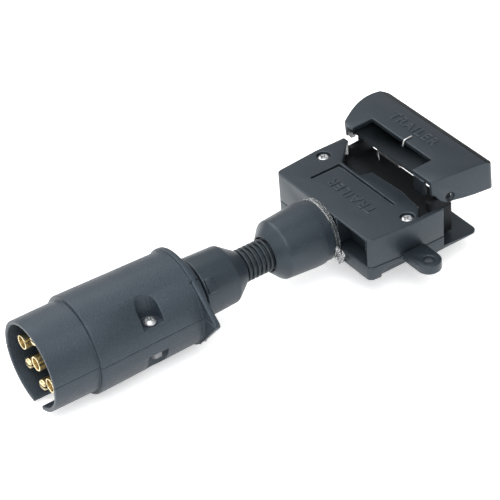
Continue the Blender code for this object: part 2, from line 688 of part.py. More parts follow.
def make_housing():
    """The socket's upper and lower halves."""
    outline = housing_outline()
    upper = plate("socket_housing_upper", outline, HOUSING_SPLIT + GAP / 2, HOUSING_TOP, parts, None,
                  housing_plastic)
    cut_housing_rooms(upper, "upper", HOUSING_SPLIT - PROUD, INSERT_TOP + GAP)
    # A recess beside the gland on the near side, its own side running out towards the corner.
    inner = -CHANNEL_HALF - 0.0012
    recess = [(HOUSING_X - PROUD, inner), (HOUSING_X - PROUD, -RECESS_FRONT_HALF),
              (HOUSING_X, -RECESS_FRONT_HALF), (HOUSING_X + RECESS_DEPTH, -RECESS_HALF),
              (HOUSING_X + RECESS_DEPTH, inner)]
    boolean(upper, plate("front_recess", recess, HOUSING_SPLIT - PROUD, HOUSING_TOP - RECESS_ROOF, cutters))

    # The well behind the top plate, where the hinge and its spring sit.
    x = HOUSING_X
    well = [(x + 0.05, -0.0313), (x + 0.0243, -0.0313), (x + 0.0295, -0.0259), (x + 0.0304, -0.0177),
            (x + 0.0310, -0.0140), (x + 0.0300, 0.0056), (x + 0.0250, 0.0071), (x + 0.0250, 0.0194),
            (x + 0.0360, 0.0301), (x + 0.05, 0.0301)]
    boolean(upper, plate("hinge_well", well, WELL_FLOOR, HOUSING_TOP + PROUD, cutters))

    half = GROOVE_WIDTH / 2
    long_x = x + 0.0228
    groove = [(x + 0.0083, 0.0184 - half), (long_x - half, 0.0184 - half), (long_x - half, -0.0184),
              (long_x + half, -0.0184), (long_x + half, 0.0184 + half), (x + 0.0083, 0.0184 + half)]
    boolean(upper, plate("top_groove", groove, HOUSING_TOP - GROOVE_DEPTH, HOUSING_TOP + PROUD, cutters))

    lower = plate("socket_housing_lower", outline, HOUSING_BOTTOM, HOUSING_SPLIT - GAP / 2, parts, None,
                  housing_plastic)
    lip = rounded([(HOUSING_END_X - 0.004, -LIP_HALF), (HOUSING_END_X + LIP_LENGTH, -LIP_HALF),
                   (HOUSING_END_X + LIP_LENGTH, LIP_HALF), (HOUSING_END_X - 0.004, LIP_HALF)], 0.0030)
    boolean(lower, plate("lip_form", lip, HOUSING_BOTTOM, HOUSING_BOTTOM + LIP_THICK, cutters), "UNION")
    cut_housing_rooms(lower, "lower", INSERT_BOTTOM - GAP, HOUSING_SPLIT + PROUD)

    for side in (-1, 1):
        tag = "near" if side < 0 else "far"
        arch_outline = [(x + ARCH_X, HOUSING_BOTTOM - PROUD), (x + ARCH_X + ARCH_LENGTH, HOUSING_BOTTOM - PROUD),
                        (x + ARCH_X + ARCH_LENGTH, HOUSING_BOTTOM + ARCH_HEIGHT),
                        (x + ARCH_X + 0.004, HOUSING_BOTTOM + ARCH_HEIGHT),
                        (x + ARCH_X + 0.001, HOUSING_BOTTOM + ARCH_HEIGHT * 0.6)]
        ends = sorted((side * (HOUSING_HALF - ARCH_DEPTH), side * 0.04))
        boolean(lower, plate("arch_" + tag, arch_outline, ends[0], ends[1], cutters, upright=True))
        hole_y = side * (HOUSING_HALF + EAR_REACH)
        inner_y = side * (HOUSING_HALF - ARCH_DEPTH / 2)
        start = 180 if side < 0 else 0
        end = arc((x + EAR_X, hole_y), EAR_R, start, start + 180, 14)
        outer_y = side * (HOUSING_HALF + GAP)
        root_top = HOUSING_SPLIT - GAP / 2 - 0.0001
        root = end + [(end[-1][0], inner_y), (end[0][0], inner_y)]
        root_low = EAR_TOP - EAR_THICK if side < 0 else root_top - FAR_EAR_THICK
        boolean(lower, plate("ear_root_" + tag, root, root_low, root_top, cutters), "UNION")
        if side < 0:
            ear = end + [(end[-1][0], outer_y), (end[0][0], outer_y)]
            boolean(lower, plate("ear_" + tag, ear, root_top - 0.0010, EAR_TOP, cutters), "UNION")
        boolean(lower, cylinder("ear_hole_" + tag, (x + EAR_X, hole_y, EAR_TOP - 0.01),
                                (x + EAR_X, hole_y, EAR_TOP + 0.01), EAR_HOLE_R, cutters, None, segments=24))

        screw_y = side * TOP_SCREW_Y
        floor = HOUSING_TOP - 0.0006 - TOP_HEAD_HEIGHT - GAP
        counterbore = cylinder("counterbore_" + tag, (x + TOP_SCREW_X, screw_y, floor),
                               (x + TOP_SCREW_X, screw_y, HOUSING_TOP + PROUD), TOP_HEAD_R + GAP,
                               cutters, None, segments=24)
        bore = cylinder("screw_bore_" + tag, (x + TOP_SCREW_X, screw_y, HOUSING_BOTTOM + 0.0015),
                        (x + TOP_SCREW_X, screw_y, HOUSING_TOP), TOP_SHAFT_R + GAP, cutters, None,
                        segments=16)
        boolean(upper, counterbore)
        boolean(upper, bore)
        boolean(lower, bore)
        length = floor + GAP - HOUSING_BOTTOM - 0.0015 - 2 * GAP
        screw_z("housing_screw_" + tag, (x + TOP_SCREW_X, screw_y, floor + GAP), TOP_HEAD_R,
                TOP_HEAD_HEIGHT, TOP_SHAFT_R, length, None)


def make_insert():
    """The socket's insert: a moat and tongue for the mating plug, its contacts, and the hinge cheeks."""
    insert = box("socket_insert", (INSERT_X, -INSERT_HALF, INSERT_BOTTOM), (NOSE_X, INSERT_HALF, INSERT_TOP),
                 parts, None, insert_plastic)
    moat_x = INSERT_X + MOAT_BACK
    boolean(insert, box("moat", (moat_x, -MOAT_HALF, MOAT_BOTTOM), (NOSE_X + PROUD, MOAT_HALF, MOAT_TOP),
                        cutters))
    boolean(insert, box("tongue_form", (moat_x - 0.0010, -TONGUE_HALF, TONGUE_BOTTOM),
                        (NOSE_X - TONGUE_SETBACK, TONGUE_HALF, TONGUE_TOP), cutters), "UNION")
    for side in (-1, 1):
        tag = "near" if side < 0 else "far"
        front = NOSE_X - CHEEK_X
        face = NOSE_X - 0.0001
        cheek = [(front, INSERT_TOP - 0.0010), (face, INSERT_TOP - 0.0010), (face, CHEEK_TOP)]
        cheek += arc((HINGE_X, HINGE_Z), KNUCKLE_R, -20, 200, 14)
        cheek += [(front, CHEEK_TOP)]
        ends = sorted((side * (INSERT_HALF - CHEEK), side * (INSERT_HALF - 0.0001)))
        boolean(insert, plate("cheek_" + tag, cheek, ends[0], ends[1], cutters, upright=True), "UNION")
    boolean(insert, cylinder("cheek_bore", (HINGE_X, -0.04, HINGE_Z), (HINGE_X, 0.04, HINGE_Z),
                             HINGE_PIN_R + RUN, cutters, None, segments=24))

    back = INSERT_X - 0.0020
    tip = NOSE_X - TONGUE_SETBACK - 0.0006
    for index in range(CONTACT_COUNT):
        y = (index - 3) * SOCKET_PITCH
        name = "socket_contact_" + str(index + 1)
        bore = cylinder(name + "_bore", (INSERT_X - PROUD, y, SOCKET_Z), (NOSE_X + PROUD, y, SOCKET_Z),
                        SOCKET_R + GAP, cutters, None, segments=12)
        boolean(insert, bore)
        contact = turned(name, [
            (tip - 0.0110, 0.0), (tip - 0.0110, SOCKET_BORE_R), (tip, SOCKET_BORE_R + 0.0002),
            (tip, SOCKET_R - 0.0001), (tip - 0.0110, SOCKET_R), (back, SOCKET_R), (back, 0.0),
        ][::-1], parts, None, brass, 12)
        contact.location = (0.0, y, SOCKET_Z)


# ---- Hinge and lid ----

def lid_right(x):
    """The lid's straight near side at x, in its hinge's frame."""
    return LID_RIGHT_NEAR + (LID_RIGHT_FAR - LID_RIGHT_NEAR) * (x - LID_NEAR) / (LID_FAR - LID_NEAR)


def lid_left(x):
    """The lid's bowed far side at x, in its hinge's frame."""
    along = min(max((x - LID_NEAR) / (LID_FAR - LID_NEAR), 0.0), 1.0)
    straight = LID_LEFT_NEAR + (LID_LEFT_FAR - LID_LEFT_NEAR) * along
    return straight + LID_BULGE * math.sin(math.pi * along) ** 0.8 * (0.70 + 0.55 * along)


def lid_outline(inset=0.0):
    """The lid seen from above in its hinge's frame; an inset outline runs out past the open near edge."""
    near = LID_NEAR - (PROUD if inset else 0.0)
    far = LID_FAR - inset
    outline = [(near, lid_right(near) + inset), (far - LID_CORNER, lid_right(far) + inset),
               (far, lid_right(far) + inset + LID_CORNER)]
    count = 11
    for i in range(count + 1):
        x = far - (LID_FAR - LID_NEAR - inset) * i / count
        outline.append((x, lid_left(x) - inset))
    if inset:
        outline.append((near, LID_LEFT_NEAR - inset))
    return outline


def make_hinge():
    """The pin, the torsion spring and the lid."""
    cylinder("hinge_pin", (HINGE_X, lid_right(0.0) + PIN_SETBACK, HINGE_Z),
             (HINGE_X, lid_left(0.0) - PIN_SETBACK, HINGE_Z), HINGE_PIN_R, parts, None, steel, segments=24)

    lid = plate("lid", lid_outline(), LID_RIM_Z, LID_TOP, parts, hinge, lid_plastic)
    boolean(lid, plate("lid_hollow", lid_outline(LID_WALL), LID_RIM_Z - PROUD, LID_TOP - LID_PLATE, cutters,
                       hinge))
    rim = [(LID_NEAR - PROUD, LID_RIM_Z - PROUD), (LID_FAR + PROUD, LID_RIM_Z - PROUD),
           (LID_FAR + PROUD, LID_RIM_Z + 0.0001), (0.0110, LID_RIM_Z + 0.0002), (0.0060, LID_RIM_Z + 0.0006),
           (0.0020, -0.0026), (-0.0020, -0.0022), (-0.0045, -0.0004), (-0.0064, 0.0026),
           (LID_NEAR - PROUD, 0.0050)]
    boolean(lid, plate("lid_rim_cut", rim, -0.05, 0.05, cutters, hinge, upright=True))
    far_cut = box("lid_far_cut", (LID_FAR - LID_WALL - PROUD, -0.0300, LID_RIM_Z - PROUD),
                  (LID_FAR + PROUD, 0.0325, LID_FAR_WALL_Z), cutters, hinge)
    boolean(lid, far_cut)
    boolean(lid, box("lid_notch", (LID_NEAR - PROUD, LID_NOTCH_RIGHT, LID_TOP - LID_PLATE - PROUD),
                     (LID_NOTCH_X, LID_NOTCH_LEFT, LID_TOP + PROUD), cutters, hinge))
    bevel = [(LID_FAR - LID_BEVEL, LID_TOP + 0.0002), (LID_FAR + 0.0002, LID_TOP - LID_BEVEL_DROP),
             (LID_FAR + PROUD, LID_TOP + PROUD), (LID_FAR - LID_BEVEL, LID_TOP + PROUD)]
    boolean(lid, plate("lid_bevel", bevel, -0.05, 0.05, cutters, hinge, upright=True))
    plate_under = LID_TOP - LID_PLATE + 0.0005
    boolean(lid, box("notch_rib", (LID_NOTCH_X, LID_NOTCH_RIGHT - NOTCH_RIB, NOTCH_RIB_Z),
                     (LID_NOTCH_X + NOTCH_RIB, LID_NOTCH_LEFT + NOTCH_RIB, plate_under), cutters, hinge), "UNION")
    boolean(lid, box("notch_end_rib", (LID_NEAR + 0.0001, LID_NOTCH_LEFT, NOTCH_RIB_Z),
                     (LID_NOTCH_X + 0.0005, LID_NOTCH_LEFT + NOTCH_RIB, plate_under), cutters, hinge), "UNION")
    boolean(lid, box("pin_guard", (LID_NEAR + 0.0001, GUARD_RIGHT, GUARD_Z),
                     (LID_NEAR + NOTCH_RIB, LID_NOTCH_RIGHT - 0.0001, plate_under), cutters, hinge), "UNION")
    boolean(lid, cylinder("lid_pin_pocket", (0.0, -0.05, 0.0), (0.0, lid_right(0.0) + PIN_POCKET_DEPTH, 0.0),
                          PIN_POCKET_R, cutters, hinge, segments=24))
    boolean(lid, cylinder("lid_pin_bore", (0.0, -0.05, 0.0), (0.0, 0.05, 0.0), HINGE_PIN_R + RUN, cutters,
                          hinge, segments=24))

    # The spring: a close coil on the pin, one leg over the lid and one down in the well.
    points = []
    steps = 10
    hook_y = COIL_LEFT - COIL_TURNS * COIL_PITCH
    start_angle = math.radians(165.0)
    for i in range(COIL_TURNS * steps + 1):
        angle = start_angle - 2 * math.pi * i / steps
        y = hook_y + COIL_PITCH * i / steps
        points.append((COIL_R * math.cos(angle), y, COIL_R * math.sin(angle)))
    lid_top = LID_TOP + COIL_WIRE_R + GAP / 2
    edge = LID_NOTCH_X - COIL_WIRE_R - GAP
    hook = [(LID_NOTCH_X + 0.0032, hook_y - 0.0004, lid_top), (edge, hook_y - 0.0004, lid_top),
            (edge - 0.0003, hook_y - 0.0004, LID_TOP - LID_PLATE), (points[0][0], hook_y - 0.0004, 0.0030)]
    down = [(-0.0021, COIL_LEFT + 0.0004, -0.0012), (-0.0017, COIL_LEFT + 0.0004, -0.0034),
            (-0.0013, COIL_LEFT + 0.0004, -0.0054)]
    wire("lid_spring", hook + points + down, COIL_WIRE_R, parts, hinge, steel)


clear_scene()
parts = add_collection("trailer_adaptor")
cutters = add_collection("cutters", hidden=True)

plug_plastic = add_material("plug_plastic", (0.035, 0.038, 0.042), 0.5)
carrier_plastic = add_material("carrier_plastic", (0.02, 0.02, 0.022), 0.55)
housing_plastic = add_material("housing_plastic", (0.04, 0.043, 0.047), 0.42)
insert_plastic = add_material("insert_plastic", (0.025, 0.025, 0.028), 0.5)
lid_plastic = add_material("lid_plastic", (0.04, 0.043, 0.047), 0.4)
boot_plastic = add_material("boot_plastic", (0.032, 0.034, 0.037), 0.45)
rubber = add_material("rubber", (0.02, 0.02, 0.021), 0.6)
clear_nylon = add_material("clear_nylon", (0.85, 0.85, 0.83), 0.25, alpha=0.45)
zinc = add_material("zinc", (0.75, 0.76, 0.78), 0.3, metallic=1.0)
steel = add_material("steel", (0.7, 0.7, 0.72), 0.25, metallic=1.0)
brass = add_material("brass", (0.78, 0.66, 0.38), 0.25, metallic=1.0)

plug = add_frame("plug_frame", parts, rotation=(PLUG_ROLL, 0.0, 0.0))
plug_matrix = Matrix.Rotation(PLUG_ROLL, 4, "X")
hinge = add_frame("lid_hinge", parts, location=(HINGE_X, 0.0, HINGE_Z), rotation=(0.0, LID_TILT, 0.0))

make_plug()
make_wires()
make_neck()
make_housing()
make_insert()
make_hinge()
for cutter in cutters.objects:
    cutter.display_type = "WIRE"
    cutter.hide_render = True
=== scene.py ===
"""Trailer wiring adaptor: a round pin plug, a ribbed strain relief and a flat socket with a sprung lid.

Every piece is in metres in the CAD frame: X along the shared axis from the plug's mouth, Z up.
"""

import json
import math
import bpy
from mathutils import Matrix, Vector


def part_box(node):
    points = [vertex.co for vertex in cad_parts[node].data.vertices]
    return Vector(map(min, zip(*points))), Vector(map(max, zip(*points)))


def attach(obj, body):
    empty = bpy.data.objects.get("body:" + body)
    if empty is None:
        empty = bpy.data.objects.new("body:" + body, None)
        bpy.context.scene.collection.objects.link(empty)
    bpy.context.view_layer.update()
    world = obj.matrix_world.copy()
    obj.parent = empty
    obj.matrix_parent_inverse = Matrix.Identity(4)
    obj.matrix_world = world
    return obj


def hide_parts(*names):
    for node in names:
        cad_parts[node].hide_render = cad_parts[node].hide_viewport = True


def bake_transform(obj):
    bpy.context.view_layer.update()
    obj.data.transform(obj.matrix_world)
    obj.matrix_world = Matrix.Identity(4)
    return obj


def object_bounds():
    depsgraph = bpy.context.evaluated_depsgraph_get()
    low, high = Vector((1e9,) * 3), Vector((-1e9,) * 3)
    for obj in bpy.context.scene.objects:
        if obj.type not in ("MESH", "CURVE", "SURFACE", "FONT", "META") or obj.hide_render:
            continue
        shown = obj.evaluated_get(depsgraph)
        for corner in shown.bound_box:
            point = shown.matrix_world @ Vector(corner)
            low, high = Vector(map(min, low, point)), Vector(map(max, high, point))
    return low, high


bl_info = {
    "name": "Trailer Wiring Adaptor",
    "version": (1, 0, 0),
    "blender": (4, 5, 0),
    "location": "View3D > Sidebar > Adaptor",
    "description": "Builds the visual model of a trailer wiring adaptor around its CAD frame",
    "category": "Add Mesh",
}

import bmesh
import bpy
from bpy.props import FloatProperty, FloatVectorProperty, IntProperty, PointerProperty
from mathutils import Matrix, Vector

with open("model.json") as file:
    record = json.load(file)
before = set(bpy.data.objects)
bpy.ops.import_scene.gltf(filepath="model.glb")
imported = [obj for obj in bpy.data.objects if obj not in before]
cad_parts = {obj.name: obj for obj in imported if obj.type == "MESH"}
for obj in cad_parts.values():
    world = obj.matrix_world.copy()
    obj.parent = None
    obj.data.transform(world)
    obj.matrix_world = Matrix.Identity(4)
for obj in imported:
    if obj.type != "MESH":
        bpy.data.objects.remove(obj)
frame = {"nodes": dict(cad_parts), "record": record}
CAD_BOX = [list(corner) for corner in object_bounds()]

GAP = 0.0003                        # between pieces that touch
PROUD = 0.002                       # how far a cutter stands past the face it opens
BODY = "adaptor"
LID = "lid"


def joint_place(name):
    """A joint's position in the frame."""
    for joint in frame["record"]["behaviour"]["joints"]:
        if joint["name"] == name:
            return Vector(joint["pos_m"])
    raise ValueError("no joint called " + name)


def low(node):
    """A CAD node's lowest corner."""
    return Vector(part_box(node)[0])


def high(node):
    """A CAD node's highest corner."""
    return Vector(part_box(node)[1])


HINGE = joint_place("lid_hinge")
SHELL_END_X = high("plug_shell_upper").x
COLLAR_END_X = high("plug_collar").x
GLAND_X = low("socket_gland").x
HOUSING_X = low("socket_housing_upper").x
HOUSING_END_X = high("socket_housing_upper").x
HOUSING_TOP = high("socket_housing_upper").z
HOUSING_SPLIT = low("socket_housing_upper").z - GAP / 2
HOUSING_BOTTOM = low("socket_housing_lower").z
INSERT_X = low("socket_insert").x
NOSE_X = high("socket_insert").x
SOCKET_Z = (low("socket_contact_4").z + high("socket_contact_4").z) / 2
LID_TILT = math.radians(-2.5)


# ---- Settings ----

def length(name, description, default):
    """A length setting."""
    return FloatProperty(name=name, description=description, default=default, min=0.0, unit="LENGTH",
                         precision=5)


def colour(name, description, default):
    """A colour setting."""
    return FloatVectorProperty(name=name, description=description, default=default, min=0.0, max=1.0,
                               subtype="COLOR")


class PlugSizes(bpy.types.PropertyGroup):
    """Sizes of the round plug and its neck."""

    roll: FloatProperty(name="Plug roll", description="Turn of the plug about the shared axis",
                        default=math.radians(-4.0), subtype="ANGLE")
    sleeve_radius: length("Sleeve radius", "Outside radius of the plug's sleeve", 0.0190)
    sleeve_wall: length("Sleeve wall", "Thickness of the plug's sleeve", 0.0018)
    sleeve_length: length("Sleeve length", "Length of the plug's sleeve", 0.0195)
    body_front_radius: length("Body front radius", "Radius of the plug's body at its step", 0.0207)
    body_rear_radius: length("Body rear radius", "Radius of the plug's body at its flange", 0.0196)
    body_length: length("Body length", "Length of the plug's body", 0.0465)
    flange_radius: length("Flange radius", "Radius of the plug's flange", 0.0205)
    flange_thickness: length("Flange thickness", "Thickness of the plug's flange", 0.0024)
    boss_radius: length("Rear boss radius", "Radius of the boss behind the flange", 0.0160)
    keyway_width: length("Keyway width", "Width of the slot in the sleeve", 0.0066)
    keyway_length: length("Keyway length", "Length of the slot in the sleeve", 0.0150)
    pocket_x: length("Pocket place", "Distance of the screw pockets from the mouth", 0.0451)
    pocket_radius: length("Pocket radius", "Radius of a screw pocket's inner end", 0.00465)
    pocket_reach: length("Pocket reach", "Distance of a pocket's screw from the axis", 0.01565)
    pocket_floor: length("Pocket floor", "Height of a pocket's floor over the split", 0.0062)
    contact_circle: length("Contact circle", "Radius of the ring of contacts", 0.0105)
    tube_radius: length("Tube radius", "Outside radius of a tube contact", 0.0031)
    tube_bore: length("Tube bore", "Inside radius of a tube contact", 0.0024)
    pin_radius: length("Pin radius", "Radius of a pin contact", 0.0024)
    pin_slot: length("Pin slot", "Width of the slot in a pin contact", 0.0007)
    rib_count: IntProperty(name="Ribs", description="Ribs on the strain relief", default=7, min=2)
    rib_pitch: length("Rib pitch", "Distance between ribs", 0.0021)
    rib_radius: length("Rib radius", "Outside radius of a rib", 0.0070)
    boot_radius: length("Relief radius", "Radius between ribs", 0.0056)
    segments: IntProperty(name="Segments", description="Flats round a turned piece", default=112, min=24)


class SocketSizes(bpy.types.PropertyGroup):
    """Sizes of the flat socket and its lid."""

    front_half: length("Front half width", "Half the housing's width at its front", 0.0314)
    rear_half: length("Rear half width", "Half the housing's width at its rear", 0.0333)
    corner: length("Corner radius", "Radius of the housing's front corners", 0.0025)
    edge: length("Edge rounding", "Rounding of the mouldings' edges", 0.00038)
    lip_thickness: length("Lip thickness", "Thickness of the lip under the mouth", 0.0012)
    ear_radius: length("Ear radius", "Radius of a fixing ear", 0.0052)
    ear_hole: length("Ear hole", "Radius of the hole in an ear", 0.0021)
    screw_x: length("Screw place", "Distance of the top screws from the housing's front", 0.0219)
    screw_y: length("Screw spread", "Distance of the top screws from the centre", 0.0281)
    head_radius: length("Screw head radius", "Radius of a top screw's head", 0.0029)
    socket_pitch: length("Socket pitch", "Distance between the socket's contacts", 0.0060)
    socket_count: IntProperty(name="Sockets", description="Contacts in the flat socket", default=7, min=1)
    lid_plate: length("Lid plate", "Thickness of the lid's top", 0.0021)
    lid_wall: length("Lid wall", "Thickness of the lid's walls", 0.0016)
    coil_radius: length("Coil radius", "Radius of the lid spring's coil", 0.0020)
    coil_wire: length("Spring wire", "Radius of the lid spring's wire", 0.00032)
    coil_turns: IntProperty(name="Coil turns", description="Turns of the lid spring", default=20, min=3)


class Colours(bpy.types.PropertyGroup):
    """Base colours of the finishes."""

    plug: colour("Plug plastic", "Grained plastic of the plug's shells", (0.0135, 0.0185, 0.0250))
    housing: colour("Housing plastic", "Satin plastic of the socket's housing", (0.0105, 0.0145, 0.0185))
    boot: colour("Boot plastic", "Plastic of the collar and the gland", (0.0115, 0.0160, 0.0215))
    # Darker than the other blacks: the plastic's own black plus painted shade, for the contacts' carrier in
    # the plug's mouth and the socket's well, the lid's grip slope and the hinge pin's ends.
    carrier: colour("Carrier plastic", "Plastic that holds the contacts", (0.003, 0.0034, 0.004))
    rubber: colour("Rubber", "Strain relief", (0.008, 0.0105, 0.013))
    brass: colour("Contact plating", "Pins and tubes", (0.83, 0.70, 0.42))
    zinc: colour("Zinc", "Screws and nuts", (0.78, 0.79, 0.80))
    steel: colour("Spring steel", "Hinge pin and spring", (0.80, 0.80, 0.79))
    nylon: colour("Clear nylon", "Cable tie", (0.86, 0.88, 0.88))
    floor: colour("Floor", "The floor under the adaptor", (0.93, 0.93, 0.93))


# ---- Mesh tools ----

def mesh_object(name, mesh):
    """A new object at the origin holding a mesh."""
    obj = bpy.data.objects.new(name, mesh)
    bpy.context.scene.collection.objects.link(obj)
    return obj


def mesh_of(name, bm):
    """A mesh from a bmesh, with its normals outward."""
    bmesh.ops.recalc_face_normals(bm, faces=bm.faces)
    mesh = bpy.data.meshes.new(name)
    bm.to_mesh(mesh)
    bm.free()
    return mesh


def filleted(points, closed=True, steps=4):
    """Round each (u, v, radius) corner of an outline into an arc."""
    outline = []
    count = len(points)
    for i, (u, v, radius) in enumerate(points):
        here = Vector((u, v))
        is_end = not closed and i in (0, count - 1)
        if radius <= 0.0 or is_end:
            outline.append((u, v))
            continue
        before = Vector(points[i - 1][:2]) - here
        after = Vector(points[(i + 1) % count][:2]) - here
        half = before.angle(after) / 2
        if half > math.radians(87.0):
            outline.append((u, v))
            continue
        reach = radius / math.tan(half)
        limit = 0.49 * min(before.length, after.length)
        if reach > limit:
            reach = limit
        radius_here = reach * math.tan(half)
        before.normalize()
        after.normalize()
        start = here + before * reach
        end = here + after * reach
        centre = here + (before + after).normalized() * (radius_here / math.sin(half))
        for k in range(steps + 1):
            spoke = (start - centre).normalized().slerp((end - centre).normalized(), k / steps)
            outline.append(tuple(centre + spoke.normalized() * radius_here))
    return outline


def turned(name, profile, segments, closed=True, steps=4):
    """Turn an (x, radius, fillet) profile about X into a closed solid."""
    outline = filleted(profile, closed, steps)
    bm = bmesh.new()
    rings = []
    for x, radius in outline:
        if radius < 1e-7:
            rings.append([bm.verts.new((x, 0.0, 0.0))])
            continue
        ring = []
        for k in range(segments):
            angle = 2 * math.pi * k / segments
            ring.append(bm.verts.new((x, radius * math.cos(angle), radius * math.sin(angle))))
        rings.append(ring)
    pairs = len(rings) if closed else len(rings) - 1
    for i in range(pairs):
        one = rings[i]
        two = rings[(i + 1) % len(rings)]
        for k in range(segments):
            n = (k + 1) % segments
            if len(one) == 1 and len(two) == 1:
                break
            if len(one) == 1:
                bm.faces.new((one[0], two[k], two[n]))
            elif len(two) == 1:
                bm.faces.new((one[k], two[0], one[n]))
            else:
                bm.faces.new((one[k], two[k], two[n], one[n]))
    return mesh_of(name, bm)


def prism(name, outline, start, end, axis="Z"):
    """A flat outline given thickness along Z, X or Y. Along X it lies in YZ, along Y in XZ."""
    bm = bmesh.new()
    ends = []
    for place in (start, end):
        row = []
        for u, v in outline:
            spot = {"Z": (u, v, place), "X": (place, u, v), "Y": (u, place, v)}[axis]
            row.append(bm.verts.new(spot))
        ends.append(row)
    bm.faces.new(ends[0])
    bm.faces.new(ends[1])
    count = len(outline)
    for i in range(count):
        n = (i + 1) % count
        bm.faces.new((ends[0][i], ends[0][n], ends[1][n], ends[1][i]))
    return mesh_of(name, bm)


def block(name, corner, opposite):
    """A box between two corners."""
    (x0, y0, z0), (x1, y1, z1) = corner, opposite
    return prism(name, [(x0, y0), (x1, y0), (x1, y1), (x0, y1)], z0, z1)


def rod(name, start, end, radius, segments=48, fillet=0.0):
    """A round rod between two points."""
    start = Vector(start)
    end = Vector(end)
    along = end - start
    profile = [(0.0, 0.0, 0.0), (0.0, radius, fillet), (along.length, radius, fillet),
               (along.length, 0.0, 0.0)]
    mesh = turned(name, profile, segments, closed=False, steps=3)
    turn = Vector((1.0, 0.0, 0.0)).rotation_difference(along).to_matrix().to_4x4()
    mesh.transform(Matrix.Translation(start) @ turn)
    return mesh


def circle_points(centre, radius, start, end, count):
    """Points on an arc, angles in degrees."""
    points = []
    for i in range(count + 1):
        angle = math.radians(start + (end - start) * i / count)
        points.append((centre[0] + radius * math.cos(angle), centre[1] + radius * math.sin(angle)))
    return points


def carve(name, mesh, steps, edge=0.0, edge_segments=2, angle=38.0):
    """Apply Boolean steps, a list of (operation, mesh), then round the sharp edges."""
    obj = mesh_object(name, mesh)
    helpers = []
    for operation, other in steps:
        helper = mesh_object(name + "_helper", other)
        helpers.append(helper)
        step = obj.modifiers.new("carve", "BOOLEAN")
        step.operation = operation
        step.solver = "EXACT"
        step.object = helper
    if edge > 0.0:
        weld = obj.modifiers.new("weld", "WELD")
        weld.merge_threshold = 1e-6
        rounding = obj.modifiers.new("rounding", "BEVEL")
        rounding.width = edge
        rounding.segments = edge_segments
        rounding.limit_method = "ANGLE"
        rounding.angle_limit = math.radians(angle)
        rounding.use_clamp_overlap = False
        rounding.harden_normals = False
    made = bpy.data.meshes.new_from_object(
        obj.evaluated_get(bpy.context.evaluated_depsgraph_get()))
    for helper in helpers:
        drop(helper)
    drop(obj)
    made.name = name
    return made


def drop(obj):
    """Remove an object and its mesh."""
    data = obj.data
    bpy.data.objects.remove(obj, do_unlink=True)
    if data.users == 0:
        bpy.data.meshes.remove(data)


def piece(name, mesh, material, body, nodes=(), smooth=32.0, matrix=None):
    """Finish a mesh as a piece that rides on a body and stands for CAD nodes."""
    if matrix is not None:
        mesh.transform(matrix)
    mesh.materials.clear()
    mesh.materials.append(material)
    mesh.shade_smooth()
    mesh.set_sharp_from_angle(angle=math.radians(smooth))
    obj = mesh_object(name, mesh)
    if body:
        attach(obj, body)
    if nodes:
        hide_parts(*nodes)
    return obj


def keep_node(node, material):
    """Give a CAD node that stays in view its finish."""
    for slot in frame["nodes"][node].material_slots:
        slot.material = material


# ---- Geometry Nodes ----

def new_tree(name, inputs):
    """An empty tree with named inputs, a list of (name, socket type, default)."""
    tree = bpy.data.node_groups.new(name, "GeometryNodeTree")
    tree.interface.new_socket("Geometry", in_out="INPUT", socket_type="NodeSocketGeometry")
    for label, kind, default in inputs:
        socket = tree.interface.new_socket(label, in_out="INPUT", socket_type=kind)
        if default is not None:
            socket.default_value = default
    tree.interface.new_socket("Geometry", in_out="OUTPUT", socket_type="NodeSocketGeometry")
    return tree, tree.nodes.new("NodeGroupInput"), tree.nodes.new("NodeGroupOutput")


def close_tree(tree, geometry, start, end):
    """End a tree in Realize Instances and Set Material."""
    realize = tree.nodes.new("GeometryNodeRealizeInstances")
    paint = tree.nodes.new("GeometryNodeSetMaterial")
    tree.links.new(geometry, realize.inputs["Geometry"])
    tree.links.new(realize.outputs["Geometry"], paint.inputs["Geometry"])
    tree.links.new(start.outputs["Material"], paint.inputs["Material"])
    tree.links.new(paint.outputs["Geometry"], end.inputs["Geometry"])


def grow(name, tree, values, base=None):
    """Run a tree with its inputs' values and return the plain mesh it makes."""
    obj = mesh_object(name + "_seed", base or bpy.data.meshes.new(name + "_seed"))
    modifier = obj.modifiers.new("shape", "NODES")
    modifier.node_group = tree
    for item in tree.interface.items_tree:
        if item.item_type == "SOCKET" and item.in_out == "INPUT" and item.name in values:
            modifier[item.identifier] = values[item.name]
    made = bpy.data.meshes.new_from_object(
        obj.evaluated_get(bpy.context.evaluated_depsgraph_get()))
    obj.modifiers.remove(modifier)
    drop(obj)
    made.name = name
    return made


def tree_copies_at_points():
    """Copies of a template on each point of the seed mesh."""
    tree, start, end = new_tree("copies_at_points", [
        ("Template", "NodeSocketObject", None), ("Turn", "NodeSocketRotation", None),
        ("Size", "NodeSocketFloat", 1.0), ("Material", "NodeSocketMaterial", None)])
    info = tree.nodes.new("GeometryNodeObjectInfo")
    place = tree.nodes.new("GeometryNodeInstanceOnPoints")
    tree.links.new(start.outputs["Template"], info.inputs["Object"])
    tree.links.new(start.outputs["Geometry"], place.inputs["Points"])
    tree.links.new(info.outputs["Geometry"], place.inputs["Instance"])
    tree.links.new(start.outputs["Turn"], place.inputs["Rotation"])
    tree.links.new(start.outputs["Size"], place.inputs["Scale"])
    close_tree(tree, place.outputs["Instances"], start, end)
    return tree


